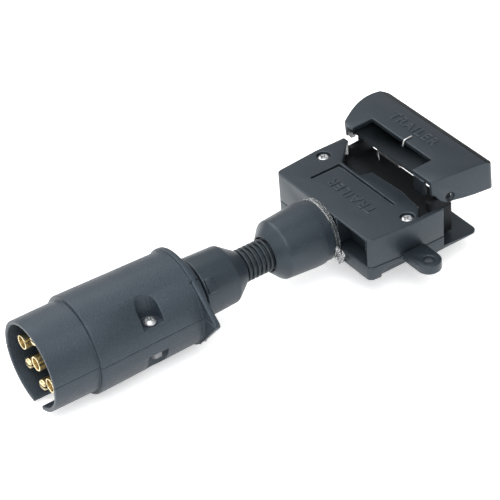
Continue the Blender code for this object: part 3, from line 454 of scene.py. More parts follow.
def tree_copies_in_row():
    """Copies of a template on an even line."""
    tree, start, end = new_tree("copies_in_row", [
        ("Template", "NodeSocketObject", None), ("Count", "NodeSocketInt", 7),
        ("Start", "NodeSocketVector", None), ("Step", "NodeSocketVector", None),
        ("Material", "NodeSocketMaterial", None)])
    info = tree.nodes.new("GeometryNodeObjectInfo")
    line = tree.nodes.new("GeometryNodeMeshLine")
    place = tree.nodes.new("GeometryNodeInstanceOnPoints")
    tree.links.new(start.outputs["Template"], info.inputs["Object"])
    tree.links.new(start.outputs["Count"], line.inputs["Count"])
    tree.links.new(start.outputs["Start"], line.inputs["Start Location"])
    tree.links.new(start.outputs["Step"], line.inputs["Offset"])
    tree.links.new(line.outputs["Mesh"], place.inputs["Points"])
    tree.links.new(info.outputs["Geometry"], place.inputs["Instance"])
    close_tree(tree, place.outputs["Instances"], start, end)
    return tree


def tree_ribbed_sleeve():
    """Rounded ribs in a row round a core tube, along X."""
    tree, start, end = new_tree("ribbed_sleeve", [
        ("Count", "NodeSocketInt", 7), ("Start", "NodeSocketVector", None),
        ("Pitch", "NodeSocketFloat", 0.0021),
        ("Rib Radius", "NodeSocketFloat", 0.0071), ("Core Radius", "NodeSocketFloat", 0.0056),
        ("Rib Width", "NodeSocketFloat", 0.0013), ("Rounding", "NodeSocketFloat", 0.0004),
        ("Segments", "NodeSocketInt", 96), ("Core Start", "NodeSocketVector", None),
        ("Core End", "NodeSocketVector", None), ("Material", "NodeSocketMaterial", None)])

    def maths(operation, a, b):
        node = tree.nodes.new("ShaderNodeMath")
        node.operation = operation
        for socket, value in zip(node.inputs, (a, b)):
            if isinstance(value, (int, float)):
                socket.default_value = value
            else:
                tree.links.new(value, socket)
        return node.outputs[0]

    depth = maths("ADD", maths("SUBTRACT", start.outputs["Rib Radius"],
                               start.outputs["Core Radius"]), 0.0006)
    middle = maths("SUBTRACT", start.outputs["Rib Radius"], maths("MULTIPLY", depth, 0.5))
    ring = tree.nodes.new("GeometryNodeCurvePrimitiveCircle")
    tree.links.new(start.outputs["Segments"], ring.inputs["Resolution"])
    tree.links.new(middle, ring.inputs["Radius"])
    section = tree.nodes.new("GeometryNodeCurvePrimitiveQuadrilateral")
    tree.links.new(depth, section.inputs["Width"])
    tree.links.new(start.outputs["Rib Width"], section.inputs["Height"])
    fillet = tree.nodes.new("GeometryNodeFilletCurve")
    fillet.mode = "POLY"
    fillet.inputs["Count"].default_value = 3
    fillet.inputs["Limit Radius"].default_value = True
    tree.links.new(section.outputs["Curve"], fillet.inputs["Curve"])
    tree.links.new(start.outputs["Rounding"], fillet.inputs["Radius"])
    rib = tree.nodes.new("GeometryNodeCurveToMesh")
    tree.links.new(ring.outputs["Curve"], rib.inputs["Curve"])
    tree.links.new(fillet.outputs["Curve"], rib.inputs["Profile Curve"])
    offset = tree.nodes.new("ShaderNodeCombineXYZ")
    tree.links.new(start.outputs["Pitch"], offset.inputs["X"])
    line = tree.nodes.new("GeometryNodeMeshLine")
    tree.links.new(start.outputs["Count"], line.inputs["Count"])
    tree.links.new(start.outputs["Start"], line.inputs["Start Location"])
    tree.links.new(offset.outputs["Vector"], line.inputs["Offset"])
    place = tree.nodes.new("GeometryNodeInstanceOnPoints")
    place.inputs["Rotation"].default_value = (0.0, math.pi / 2, 0.0)
    tree.links.new(line.outputs["Mesh"], place.inputs["Points"])
    tree.links.new(rib.outputs["Mesh"], place.inputs["Instance"])
    spine = tree.nodes.new("GeometryNodeCurvePrimitiveLine")
    tree.links.new(start.outputs["Core Start"], spine.inputs["Start"])
    tree.links.new(start.outputs["Core End"], spine.inputs["End"])
    round_section = tree.nodes.new("GeometryNodeCurvePrimitiveCircle")
    tree.links.new(start.outputs["Segments"], round_section.inputs["Resolution"])
    tree.links.new(start.outputs["Core Radius"], round_section.inputs["Radius"])
    core = tree.nodes.new("GeometryNodeCurveToMesh")
    core.inputs["Fill Caps"].default_value = True
    tree.links.new(spine.outputs["Curve"], core.inputs["Curve"])
    tree.links.new(round_section.outputs["Curve"], core.inputs["Profile Curve"])
    join = tree.nodes.new("GeometryNodeJoinGeometry")
    tree.links.new(place.outputs["Instances"], join.inputs["Geometry"])
    tree.links.new(core.outputs["Mesh"], join.inputs["Geometry"])
    close_tree(tree, join.outputs["Geometry"], start, end)
    return tree


def tree_torsion_spring():
    """A close coil along Y joined by two legs, whose lines come in as the seed mesh."""
    tree, start, end = new_tree("torsion_spring", [
        ("Turns", "NodeSocketFloat", 14.0), ("Coil Radius", "NodeSocketFloat", 0.002),
        ("Coil Length", "NodeSocketFloat", 0.014), ("Wire Radius", "NodeSocketFloat", 0.0004),
        ("Coil Start", "NodeSocketVector", None), ("Start Angle", "NodeSocketFloat", 0.0),
        ("Material", "NodeSocketMaterial", None)])
    spiral = tree.nodes.new("GeometryNodeCurveSpiral")
    spiral.inputs["Resolution"].default_value = 24
    tree.links.new(start.outputs["Turns"], spiral.inputs["Rotations"])
    tree.links.new(start.outputs["Coil Radius"], spiral.inputs["Start Radius"])
    tree.links.new(start.outputs["Coil Radius"], spiral.inputs["End Radius"])
    tree.links.new(start.outputs["Coil Length"], spiral.inputs["Height"])
    spin = tree.nodes.new("ShaderNodeCombineXYZ")
    tree.links.new(start.outputs["Start Angle"], spin.inputs["Z"])
    turn = tree.nodes.new("GeometryNodeTransform")
    tree.links.new(spiral.outputs["Curve"], turn.inputs["Geometry"])
    tree.links.new(spin.outputs["Vector"], turn.inputs["Rotation"])
    lay = tree.nodes.new("GeometryNodeTransform")
    lay.inputs["Rotation"].default_value = (math.pi / 2, 0.0, 0.0)
    tree.links.new(turn.outputs["Geometry"], lay.inputs["Geometry"])
    tree.links.new(start.outputs["Coil Start"], lay.inputs["Translation"])
    legs = tree.nodes.new("GeometryNodeMeshToCurve")
    tree.links.new(start.outputs["Geometry"], legs.inputs["Mesh"])
    join = tree.nodes.new("GeometryNodeJoinGeometry")
    tree.links.new(lay.outputs["Geometry"], join.inputs["Geometry"])
    tree.links.new(legs.outputs["Curve"], join.inputs["Geometry"])
    section = tree.nodes.new("GeometryNodeCurvePrimitiveCircle")
    section.inputs["Resolution"].default_value = 12
    tree.links.new(start.outputs["Wire Radius"], section.inputs["Radius"])
    sweep = tree.nodes.new("GeometryNodeCurveToMesh")
    sweep.inputs["Fill Caps"].default_value = True
    tree.links.new(join.outputs["Geometry"], sweep.inputs["Curve"])
    tree.links.new(section.outputs["Curve"], sweep.inputs["Profile Curve"])
    close_tree(tree, sweep.outputs["Mesh"], start, end)
    return tree


def copies(name, template, points, material, turn=(0.0, 0.0, 0.0)):
    """A mesh with a copy of a template mesh at each point."""
    seed = bpy.data.meshes.new(name + "_points")
    seed.from_pydata(points, [], [])
    source = mesh_object(name + "_template", template)
    made = grow(name, tree_copies_at_points(),
                {"Template": source, "Turn": turn, "Material": material}, seed)
    drop(source)
    return made


# ---- Finishes ----

def new_group(name, inputs, outputs):
    """An empty shader group with named inputs and outputs."""
    group = bpy.data.node_groups.new(name, "ShaderNodeTree")
    for label, kind, default in inputs:
        socket = group.interface.new_socket(label, in_out="INPUT", socket_type=kind)
        if default is not None:
            socket.default_value = default
    for label, kind in outputs:
        group.interface.new_socket(label, in_out="OUTPUT", socket_type=kind)
    return group, group.nodes.new("NodeGroupInput"), group.nodes.new("NodeGroupOutput")


def mapped(tree, value, from_low, from_high, to_low, to_high):
    """A clamped Map Range node's result."""
    node = tree.nodes.new("ShaderNodeMapRange")
    for label, number in (("From Min", from_low), ("From Max", from_high), ("To Min", to_low),
                          ("To Max", to_high)):
        if isinstance(number, (int, float)):
            node.inputs[label].default_value = number
        else:
            tree.links.new(number, node.inputs[label])
    tree.links.new(value, node.inputs["Value"])
    return node.outputs["Result"]


def moulded_grain():
    """Group: the fine pebbled grain of a mould, as a height and a tone."""
    group, start, end = new_group("moulded_grain", [
        ("Vector", "NodeSocketVector", None), ("Scale", "NodeSocketFloat", 2400.0)],
        [("Height", "NodeSocketFloat"), ("Tone", "NodeSocketFloat")])
    pebbles = group.nodes.new("ShaderNodeTexVoronoi")
    pebbles.feature = "SMOOTH_F1"
    pebbles.inputs["Smoothness"].default_value = 0.7
    pebbles.inputs["Randomness"].default_value = 1.0
    fine = group.nodes.new("ShaderNodeTexNoise")
    fine.inputs["Detail"].default_value = 3.0
    fine.inputs["Roughness"].default_value = 0.6
    mix = group.nodes.new("ShaderNodeMath")
    mix.operation = "MULTIPLY_ADD"
    mix.inputs[1].default_value = -0.8
    for node in (pebbles, fine):
        group.links.new(start.outputs["Vector"], node.inputs["Vector"])
        group.links.new(start.outputs["Scale"], node.inputs["Scale"])
    group.links.new(pebbles.outputs["Distance"], mix.inputs[0])
    group.links.new(fine.outputs["Fac"], mix.inputs[2])
    group.links.new(mix.outputs[0], end.inputs["Height"])
    group.links.new(mapped(group, fine.outputs["Fac"], 0.3, 0.7, 0.0, 1.0), end.inputs["Tone"])
    return group


def edge_round_and_highlight():
    """Group: softened normals at edges and a mask of painted highlights along the edges."""
    group, start, end = new_group("edge_round_and_highlight", [
        ("Vector", "NodeSocketVector", None), ("Radius", "NodeSocketFloat", 0.0004),
        ("Amount", "NodeSocketFloat", 1.0)],
        [("Normal", "NodeSocketVector"), ("Mask", "NodeSocketFloat")])
    soft = group.nodes.new("ShaderNodeBevel")
    soft.samples = 6
    group.links.new(start.outputs["Radius"], soft.inputs["Radius"])
    plain = group.nodes.new("ShaderNodeNewGeometry")
    dot = group.nodes.new("ShaderNodeVectorMath")
    dot.operation = "DOT_PRODUCT"
    group.links.new(soft.outputs["Normal"], dot.inputs[0])
    group.links.new(plain.outputs["Normal"], dot.inputs[1])
    # Painted highlight: the mask grows where the bevelled normal turns from the face's own normal, and it
    # lightens the edges' colour.
    painted_highlight = mapped(group, dot.outputs["Value"], 0.995, 0.80, 0.0, 1.0)
    patches = group.nodes.new("ShaderNodeTexNoise")
    patches.inputs["Scale"].default_value = 260.0
    patches.inputs["Detail"].default_value = 4.0
    group.links.new(start.outputs["Vector"], patches.inputs["Vector"])
    uneven = mapped(group, patches.outputs["Fac"], 0.35, 0.62, 0.35, 1.0)
    product = group.nodes.new("ShaderNodeMath")
    product.operation = "MULTIPLY"
    group.links.new(painted_highlight, product.inputs[0])
    group.links.new(uneven, product.inputs[1])
    strength = group.nodes.new("ShaderNodeMath")
    strength.operation = "MULTIPLY"
    strength.use_clamp = True
    group.links.new(product.outputs[0], strength.inputs[0])
    group.links.new(start.outputs["Amount"], strength.inputs[1])
    group.links.new(strength.outputs[0], end.inputs["Mask"])
    group.links.new(soft.outputs["Normal"], end.inputs["Normal"])
    return group


def handling_marks():
    """Group: broad uneven sheen and sparse dust left by handling, as two masks."""
    group, start, end = new_group("handling_marks", [
        ("Vector", "NodeSocketVector", None), ("Scale", "NodeSocketFloat", 70.0)],
        [("Sheen", "NodeSocketFloat"), ("Dust", "NodeSocketFloat")])
    broad = group.nodes.new("ShaderNodeTexNoise")
    broad.inputs["Detail"].default_value = 5.0
    broad.inputs["Distortion"].default_value = 0.6
    group.links.new(start.outputs["Vector"], broad.inputs["Vector"])
    group.links.new(start.outputs["Scale"], broad.inputs["Scale"])
    specks = group.nodes.new("ShaderNodeTexNoise")
    specks.inputs["Scale"].default_value = 1500.0
    specks.inputs["Detail"].default_value = 2.0
    group.links.new(start.outputs["Vector"], specks.inputs["Vector"])
    group.links.new(mapped(group, broad.outputs["Fac"], 0.3, 0.7, 0.0, 1.0), end.inputs["Sheen"])
    group.links.new(mapped(group, specks.outputs["Fac"], 0.66, 0.74, 0.0, 1.0), end.inputs["Dust"])
    return group


def shared_group(name):
    """A shader group, built the first time it is asked for."""
    makers = {"moulded_grain": moulded_grain, "edge_round_and_highlight": edge_round_and_highlight, "handling_marks": handling_marks}
    return bpy.data.node_groups.get(name) or makers[name]()


class Finish:
    """A material under way: its tree, its Principled shader and the Object coordinates."""

    def __init__(self, name, base, roughness, metallic=0.0):
        self.material = bpy.data.materials.new(name)
        self.material.use_nodes = True
        self.tree = self.material.node_tree
        self.shader = self.tree.nodes["Principled BSDF"]
        self.shader.inputs["Base Color"].default_value = (*base, 1.0)
        self.shader.inputs["Roughness"].default_value = roughness
        self.shader.inputs["Metallic"].default_value = metallic
        self.material.diffuse_color = (*base, 1.0)
        self.place = self.tree.nodes.new("ShaderNodeTexCoord").outputs["Object"]

    def group(self, name, **values):
        node = self.tree.nodes.new("ShaderNodeGroup")
        node.node_tree = shared_group(name)
        self.tree.links.new(self.place, node.inputs["Vector"])
        for label, number in values.items():
            node.inputs[label].default_value = number
        return node

    def blend(self, mask, one, two):
        """Colours one and two mixed by a mask."""
        mix = self.tree.nodes.new("ShaderNodeMix")
        mix.data_type = "RGBA"
        for socket, value in ((mix.inputs["A"], one), (mix.inputs["B"], two)):
            if isinstance(value, tuple):
                socket.default_value = (*value, 1.0)
            else:
                self.tree.links.new(value, socket)
        self.tree.links.new(mask, mix.inputs["Factor"])
        return mix.outputs["Result"]

    def add(self, one, two):
        node = self.tree.nodes.new("ShaderNodeMath")
        node.operation = "ADD"
        node.use_clamp = True
        self.tree.links.new(one, node.inputs[0])
        self.tree.links.new(two, node.inputs[1])
        return node.outputs[0]

    def bump(self, height, normal, depth):
        node = self.tree.nodes.new("ShaderNodeBump")
        node.inputs["Strength"].default_value = 1.0
        node.inputs["Distance"].default_value = depth
        self.tree.links.new(height, node.inputs["Height"])
        self.tree.links.new(normal, node.inputs["Normal"])
        self.tree.links.new(node.outputs["Normal"], self.shader.inputs["Normal"])


def plastic(name, base, roughness, grain, depth, edge=0.0004, painted_highlight=(0.16, 0.19, 0.215), highlight_amount=0.85,
            shine=0.5):
    """Moulded plastic or rubber: pebbled grain, painted highlights along the edges, uneven sheen and a
    little dust.
    """
    finish = Finish(name, base, roughness)
    pebbles = finish.group("moulded_grain", Scale=grain)
    edges = finish.group("edge_round_and_highlight", Radius=edge, Amount=highlight_amount)
    marks = finish.group("handling_marks")
    lifted = tuple(c * 1.45 + 0.003 for c in base)
    tone = finish.blend(pebbles.outputs["Tone"], base, lifted)
    dusty = finish.blend(marks.outputs["Dust"], tone, tuple(c * 2.2 + 0.012 for c in base))
    # Painted highlight: the edges are blended towards a lighter colour.
    finish.tree.links.new(finish.blend(edges.outputs["Mask"], dusty, painted_highlight),
                          finish.shader.inputs["Base Color"])
    rough = mapped(finish.tree, marks.outputs["Sheen"], 0.0, 1.0, roughness - 0.05, roughness + 0.06)
    finish.tree.links.new(rough, finish.shader.inputs["Roughness"])
    finish.shader.inputs["Specular IOR Level"].default_value = shine
    finish.shader.inputs["Specular Tint"].default_value = (0.76, 0.90, 1.0, 1.0)
    finish.bump(pebbles.outputs["Height"], edges.outputs["Normal"], depth)
    return finish.material


def metal(name, base, roughness, brushing=(1.0, 1.0, 1.0), edge=0.00015, dull=0.55):
    """Plated metal with fine scratches, dulled patches and painted highlights along the edges."""
    finish = Finish(name, base, roughness, 1.0)
    edges = finish.group("edge_round_and_highlight", Radius=edge, Amount=0.8)
    marks = finish.group("handling_marks", Scale=420.0)
    stretch = finish.tree.nodes.new("ShaderNodeMapping")
    stretch.inputs["Scale"].default_value = brushing
    finish.tree.links.new(finish.place, stretch.inputs["Vector"])
    lines = finish.tree.nodes.new("ShaderNodeTexNoise")
    lines.inputs["Scale"].default_value = 2600.0
    lines.inputs["Detail"].default_value = 2.0
    finish.tree.links.new(stretch.outputs["Vector"], lines.inputs["Vector"])
    dulled = finish.blend(marks.outputs["Sheen"], base, tuple(c * dull for c in base))
    # Painted highlight: a brighter colour along the edges.
    painted_edge_highlight = tuple(min(1.0, c * 1.12 + 0.05) for c in base)
    finish.tree.links.new(finish.blend(edges.outputs["Mask"], dulled, painted_edge_highlight),
                          finish.shader.inputs["Base Color"])
    rough = mapped(finish.tree, lines.outputs["Fac"], 0.3, 0.7, roughness - 0.06, roughness + 0.12)
    finish.tree.links.new(rough, finish.shader.inputs["Roughness"])
    finish.bump(lines.outputs["Fac"], edges.outputs["Normal"], 0.000004)
    return finish.material


def clear_moulding(name, base):
    """Clear moulded nylon, faintly cloudy."""
    finish = Finish(name, base, 0.16)
    edges = finish.group("edge_round_and_highlight", Radius=0.0004, Amount=0.4)
    marks = finish.group("handling_marks", Scale=300.0)
    cloud = finish.blend(marks.outputs["Sheen"], base, tuple(c * 0.9 for c in base))
    finish.tree.links.new(cloud, finish.shader.inputs["Base Color"])
    finish.shader.inputs["Transmission Weight"].default_value = 0.97
    finish.shader.inputs["IOR"].default_value = 1.46
    rough = mapped(finish.tree, marks.outputs["Sheen"], 0.0, 1.0, 0.05, 0.14)
    finish.tree.links.new(rough, finish.shader.inputs["Roughness"])
    finish.tree.links.new(edges.outputs["Normal"], finish.shader.inputs["Normal"])
    return finish.material


def paint(name):
    """A finish by name, made the first time it is asked for."""
    made = bpy.data.materials.get(name)
    if made:
        return made
    tones = bpy.context.scene.adaptor_colours
    makers = {
        "plug_shell": lambda: plastic("plug_shell", tuple(tones.plug), 0.46, 1900.0, 0.00011),
        "housing_satin": lambda: plastic("housing_satin", tuple(tones.housing), 0.36, 2600.0, 0.00003),
        "boot_satin": lambda: plastic("boot_satin", tuple(tones.boot), 0.42, 2300.0, 0.00005),
        # The carrier's darkest black is the plastic's own black plus painted shade that darkens the plug's
        # mouth and the socket's well.
        "carrier_painted_shade": lambda: plastic("carrier_painted_shade", tuple(tones.carrier), 0.55, 2400.0, 0.00004,
                                         painted_highlight=(0.02, 0.022, 0.025), highlight_amount=0.3, shine=0.18),
        # The grip slope's darker black is painted shade: the slope faces away from the light.
        "grip_painted_shade": lambda: plastic("grip_painted_shade", tuple(tones.carrier), 0.60, 2400.0, 0.00006,
                                      painted_highlight=(0.03, 0.033, 0.036), highlight_amount=0.5, shine=0.12),
        # Nuts: a dull steel, darkened as painted shade of the plug's lower pockets.
        "nut_steel_shaded": lambda: metal("nut_steel_shaded", (0.22, 0.23, 0.24), 0.42),
        "relief_rubber": lambda: plastic("relief_rubber", tuple(tones.rubber), 0.50, 2600.0, 0.00003,
                                         edge=0.0003),
        "contact_brass": lambda: metal("contact_brass", tuple(tones.brass), 0.24, (6.0, 1.0, 1.0)),
        "screw_zinc": lambda: metal("screw_zinc", tuple(tones.zinc), 0.42),
        "spring_steel": lambda: metal("spring_steel", tuple(tones.steel), 0.40, (1.0, 6.0, 1.0), dull=0.8),
        "tie_nylon": lambda: clear_moulding("tie_nylon", tuple(tones.nylon)),
    }
    return makers[name]()


# ---- Round plug ----

def plug_turn():
    """The plug's own frame, rolled about the shared axis."""
    return Matrix.Rotation(bpy.context.scene.plug_sizes.roll, 4, "X")


def shell_mesh(name, side):
    """One plug shell: side is +1 above the split and -1 below it."""
    s = bpy.context.scene.plug_sizes
    inner = s.sleeve_radius - s.sleeve_wall
    step = s.sleeve_length
    flange = step + s.body_length
    boss = flange + s.flange_thickness
    seat = inner + 0.0010
    seat_end = high("contact_carrier").x + GAP
    room_end = SHELL_END_X - 0.0089
    profile = [
        (0.0, s.sleeve_radius, 0.00045), (step, s.sleeve_radius, 0.0002),
        (step, s.body_front_radius, 0.0009), (flange, s.body_rear_radius, 0.0003),
        (flange, s.flange_radius, 0.0006), (boss, s.flange_radius, 0.0006),
        (boss, s.boss_radius, 0.0004), (SHELL_END_X, s.boss_radius, 0.0008),
        (SHELL_END_X, 0.0090, 0.0), (room_end, 0.0090, 0.0), (room_end, 0.0120, 0.0),
        (seat_end, 0.0120, 0.0), (seat_end, seat, 0.0), (step + GAP, seat, 0.0), (step + GAP, inner, 0.0),
        (0.0, inner, 0.0006),
    ]
    shell = turned(name, profile, s.segments, steps=4)
    reach = s.flange_radius * math.sqrt(2)
    lug_outline = filleted([
        (-s.flange_radius * 0.7071, s.flange_radius * 0.7071, 0.0), (-reach, 0.0, 0.0016),
        (-s.flange_radius * 0.7071, -s.flange_radius * 0.7071, 0.0), (-0.0150, 0.0, 0.0)], steps=6)
    lug = prism("lug", lug_outline, flange + 0.0001, boss - 0.0001, "X")
    span = 0.04
    low_z, high_z = (GAP / 4, span) if side > 0 else (-span, -GAP / 4)
    steps = [("UNION", lug), ("INTERSECT", block("half", (-0.01, -span, low_z), (0.09, span, high_z)))]
    for hand in (-1, 1):
        y = hand * s.pocket_reach
        round_end = circle_points((s.pocket_x, y), s.pocket_radius, 0, -hand * 180, 28)
        outline = round_end + [(s.pocket_x - s.pocket_radius, hand * 0.03),
                               (s.pocket_x + s.pocket_radius, hand * 0.03)]
        ends = sorted((side * s.pocket_floor, side * 0.03))
        steps.append(("DIFFERENCE", prism("pocket", outline, ends[0], ends[1])))
        steps.append(("DIFFERENCE", rod("hole", (s.pocket_x, y, -side * 0.001),
                                        (s.pocket_x, y, side * (s.pocket_floor + 0.001)), 0.0019, 32)))
    if side < 0:
        half = s.keyway_width / 2
        steps.append(("DIFFERENCE", block("keyway", (-PROUD, -half, -s.sleeve_radius - PROUD),
                                          (s.keyway_length, half, -s.sleeve_radius * 0.7))))
    return carve(name, shell, steps, edge=0.00022, edge_segments=2, angle=50.0)


def screw_mesh(head_radius, head_height, shaft_radius, shaft_length):
    """A pan-head cross-recess screw along Z, its head's underside at the origin."""
    head = turned("screw", [
        (-shaft_length, 0.0, 0.0), (-shaft_length, shaft_radius, 0.0006), (0.0, shaft_radius, 0.0),
        (0.0, head_radius, 0.0002), (head_height * 0.45, head_radius, 0.0004),
        (head_height, head_radius * 0.62, 0.0009), (head_height, 0.0, 0.0)], 48, closed=False)
    head.transform(Matrix.Rotation(-math.pi / 2, 4, "Y"))
    arm = head_radius * 0.62
    half = head_radius * 0.13
    core = head_radius * 0.24
    outline = [(arm, -half), (arm, half), (core, half), (half, core), (half, arm), (-half, arm),
               (-half, core),
               (-core, half), (-arm, half), (-arm, -half), (-core, -half), (-half, -core), (-half, -arm),
               (half, -arm), (half, -core), (core, -half)]
    turn = Matrix.Rotation(math.radians(20.0), 2)
    outline = [tuple(turn @ Vector(point)) for point in outline]
    cross = prism("cross", outline, head_height * 0.30, head_height + PROUD)
    return carve("screw", head, [("DIFFERENCE", cross)], edge=0.00006, edge_segments=1, angle=40.0)


def contact_mesh(is_tube):
    """A contact at the origin of the ring, running along X."""
    s = bpy.context.scene.plug_sizes
    node = "tube_contact_7" if is_tube else "pin_contact_2"
    tip = low(node).x
    back = high("contact_carrier").x
    tail = high(node).x
    if is_tube:
        profile = [(tip + 0.0140, 0.0, 0.0), (tip + 0.0140, s.tube_bore, 0.0), (tip, s.tube_bore, 0.00025),
                   (tip, s.tube_radius, 0.00025), (back, s.tube_radius, 0.0), (back, 0.0016, 0.0),
                   (tail, 0.0016, 0.0), (tail, 0.0, 0.0)]
        return turned("tube", profile, 48, closed=False)
    profile = [(tip, 0.0, 0.0), (tip, s.pin_radius, 0.0015), (back, s.pin_radius, 0.0),
               (back, 0.0016, 0.0), (tail, 0.0016, 0.0), (tail, 0.0, 0.0)]
    pin = turned("pin", profile, 48, closed=False, steps=8)
    slot = block("slot", (tip - PROUD, -0.01, -s.pin_slot / 2), (tip + 0.0080, 0.01, s.pin_slot / 2))
    return carve("pin", pin, [("DIFFERENCE", slot)])


def ring_points(indices):
    """The contacts' places on the plug's ring; the seventh is at the centre."""
    reach = bpy.context.scene.plug_sizes.contact_circle
    points = []
    for index in indices:
        angle = math.radians(30 + 60 * index)
        r = reach if index < 6 else 0.0
        points.append((0.0, r * math.cos(angle), r * math.sin(angle)))
    return points


class PlugShells(bpy.types.Operator):
    """Make the plug's two grained shells"""

    bl_idname = "adaptor.plug_shells"
    bl_label = "Plug Shells"

    def execute(self, context):
        for name, node, side in (("plug_shell_top", "plug_shell_upper", 1),
                                 ("plug_shell_bottom", "plug_shell_lower", -1)):
            piece(name, shell_mesh(name, side), paint("plug_shell"), BODY, [node],
                  matrix=plug_turn())
        return {"FINISHED"}


class PlugContacts(bpy.types.Operator):
    """Make the plug's tubes and slotted pins and the block that holds them"""

    bl_idname = "adaptor.plug_contacts"
    bl_label = "Plug Contacts"

    def execute(self, context):
        tubes = copies("tube_contacts", contact_mesh(True), ring_points((0, 3, 6)), paint("contact_brass"))
        piece("tube_contacts", tubes, paint("contact_brass"), BODY,
              ["tube_contact_1", "tube_contact_4", "tube_contact_7"], matrix=plug_turn())
        pins = copies("pin_contacts", contact_mesh(False), ring_points((1, 2, 4, 5)),
                      paint("contact_brass"))
        piece("pin_contacts", pins, paint("contact_brass"), BODY,
              ["pin_contact_2", "pin_contact_3", "pin_contact_5", "pin_contact_6"], matrix=plug_turn())

        s = context.scene.plug_sizes
        front = low("contact_carrier").x
        back = high("contact_carrier").x
        radius = s.sleeve_radius - s.sleeve_wall + 0.0007
        carrier = turned("contact_block", [
            (front, 0.0, 0.0), (front, radius, 0.0004), (back, radius, 0.0), (back, 0.0, 0.0)], s.segments,
            closed=False)
        steps = []
        for index, (x, y, z) in enumerate(ring_points(range(7))):
            bore = (s.tube_radius if index in (0, 3, 6) else s.pin_radius) + 0.00012
            steps.append(("UNION", rod("ring", (front - 0.0007, y, z), (front + 0.001, y, z),
                                       bore + 0.0009, 40,
                                       0.0003)))
        for index, (x, y, z) in enumerate(ring_points(range(7))):
            bore = (s.tube_radius if index in (0, 3, 6) else s.pin_radius) + 0.00012
            steps.append(("DIFFERENCE", rod("bore", (front - PROUD, y, z), (back + PROUD, y, z), bore, 40)))
        piece("contact_block", carve("contact_block", carrier, steps), paint("carrier_painted_shade"),
              BODY, ["contact_carrier"], matrix=plug_turn())
        return {"FINISHED"}


class PlugScrews(bpy.types.Operator):
    """Make the plug's screws and nuts"""

    bl_idname = "adaptor.plug_screws"
    bl_label = "Plug Screws"

    def execute(self, context):
        s = context.scene.plug_sizes
        seat = s.pocket_floor + GAP / 2
        points = [(s.pocket_x, side * s.pocket_reach, seat) for side in (-1, 1)]
        screws = copies("plug_screws", screw_mesh(0.0026, 0.0018, 0.0015,
                                                  2 * s.pocket_floor + 0.0036), points,
                        paint("screw_zinc"))
        piece("plug_screws", screws, paint("screw_zinc"), BODY,
              ["shell_screw_near", "shell_screw_far"],
              matrix=plug_turn())
        nut = prism("nut", circle_points((0.0, 0.0), 0.0031, 0, 300, 5), -0.0024, 0.0)
        chamfer = turned("chamfer", [(-0.0025, 0.0, 0.0), (-0.0025, 0.0027, 0.0), (-0.0019, 0.0033, 0.0),
                                     (0.0001, 0.0033, 0.0), (0.0001, 0.0, 0.0)], 48, closed=False)
        chamfer.transform(Matrix.Rotation(-math.pi / 2, 4, "Y"))
        nut = carve("nut", nut, [("INTERSECT", chamfer),
                                 ("DIFFERENCE", rod("bore", (0, 0, -0.01), (0, 0, 0.01), 0.00165, 32))])
        points = [(s.pocket_x, side * s.pocket_reach, -seat) for side in (-1, 1)]
        nuts = copies("plug_nuts", nut, points, paint("nut_steel_shaded"))
        piece("plug_nuts", nuts, paint("nut_steel_shaded"), BODY, ["shell_nut_near", "shell_nut_far"],
              matrix=plug_turn())
        return {"FINISHED"}


# ---- Neck ----

class Collar(bpy.types.Operator):
    """Make the plug's collar with its side tab"""

    bl_idname = "adaptor.collar"
    bl_label = "Collar"

    def execute(self, context):
        s = context.scene.plug_sizes
        start = SHELL_END_X + 0.0018
        end = COLLAR_END_X
        trap = low("plug_collar").x
        profile = [
            (trap, 0.0110, 0.0003), (trap + 0.0017, 0.0110, 0.0), (trap + 0.0017, 0.0086, 0.0),
            (start, 0.0086, 0.0), (start, 0.0129, 0.0007), (end - 0.0072, 0.0123, 0.0020),
            (end, 0.0070, 0.0007), (end, 0.0060, 0.0003), (end - 0.0046, 0.0060, 0.0),
            (end - 0.0046, 0.0095, 0.0), (end - 0.0155, 0.0095, 0.0), (end - 0.0155, 0.0056, 0.0),
            (trap, 0.0056, 0.0)]
        collar = turned("collar", profile, s.segments, steps=6)
        tab = block("tab", (start + 0.0008, -0.0031, 0.0112), (start + 0.0046, 0.0031, 0.0136))
        tab = carve("tab", tab, [], edge=0.0005, edge_segments=3, angle=30.0)
        tab.transform(Matrix.Rotation(math.radians(60.0), 4, "X"))
        piece("collar", carve("collar", collar, [("UNION", tab)]), paint("boot_satin"),
              BODY,
              ["plug_collar"], matrix=plug_turn())
        return {"FINISHED"}


class StrainRelief(bpy.types.Operator):
    """Grow the ribbed strain relief between the collar and the gland"""

    bl_idname = "adaptor.strain_relief"
    bl_label = "Strain Relief"

    def execute(self, context):
        s = context.scene.plug_sizes
        width = s.rib_pitch * 0.62
        first = COLLAR_END_X + 0.0006 + width / 2
        sleeve = grow("ribbed_relief", tree_ribbed_sleeve(), {
            "Count": s.rib_count, "Start": (first, 0.0, 0.0), "Pitch": s.rib_pitch,
            "Rib Radius": s.rib_radius,
            "Core Radius": s.boot_radius, "Rib Width": width, "Rounding": width * 0.42,
            "Segments": s.segments, "Core Start": (low("strain_relief").x, 0.0, 0.0),
            "Core End": (high("strain_relief").x - 0.0001, 0.0, 0.0), "Material": paint("relief_rubber")})
        piece("ribbed_relief", sleeve, paint("relief_rubber"), BODY, ["strain_relief"],
              smooth=50.0)
        return {"FINISHED"}


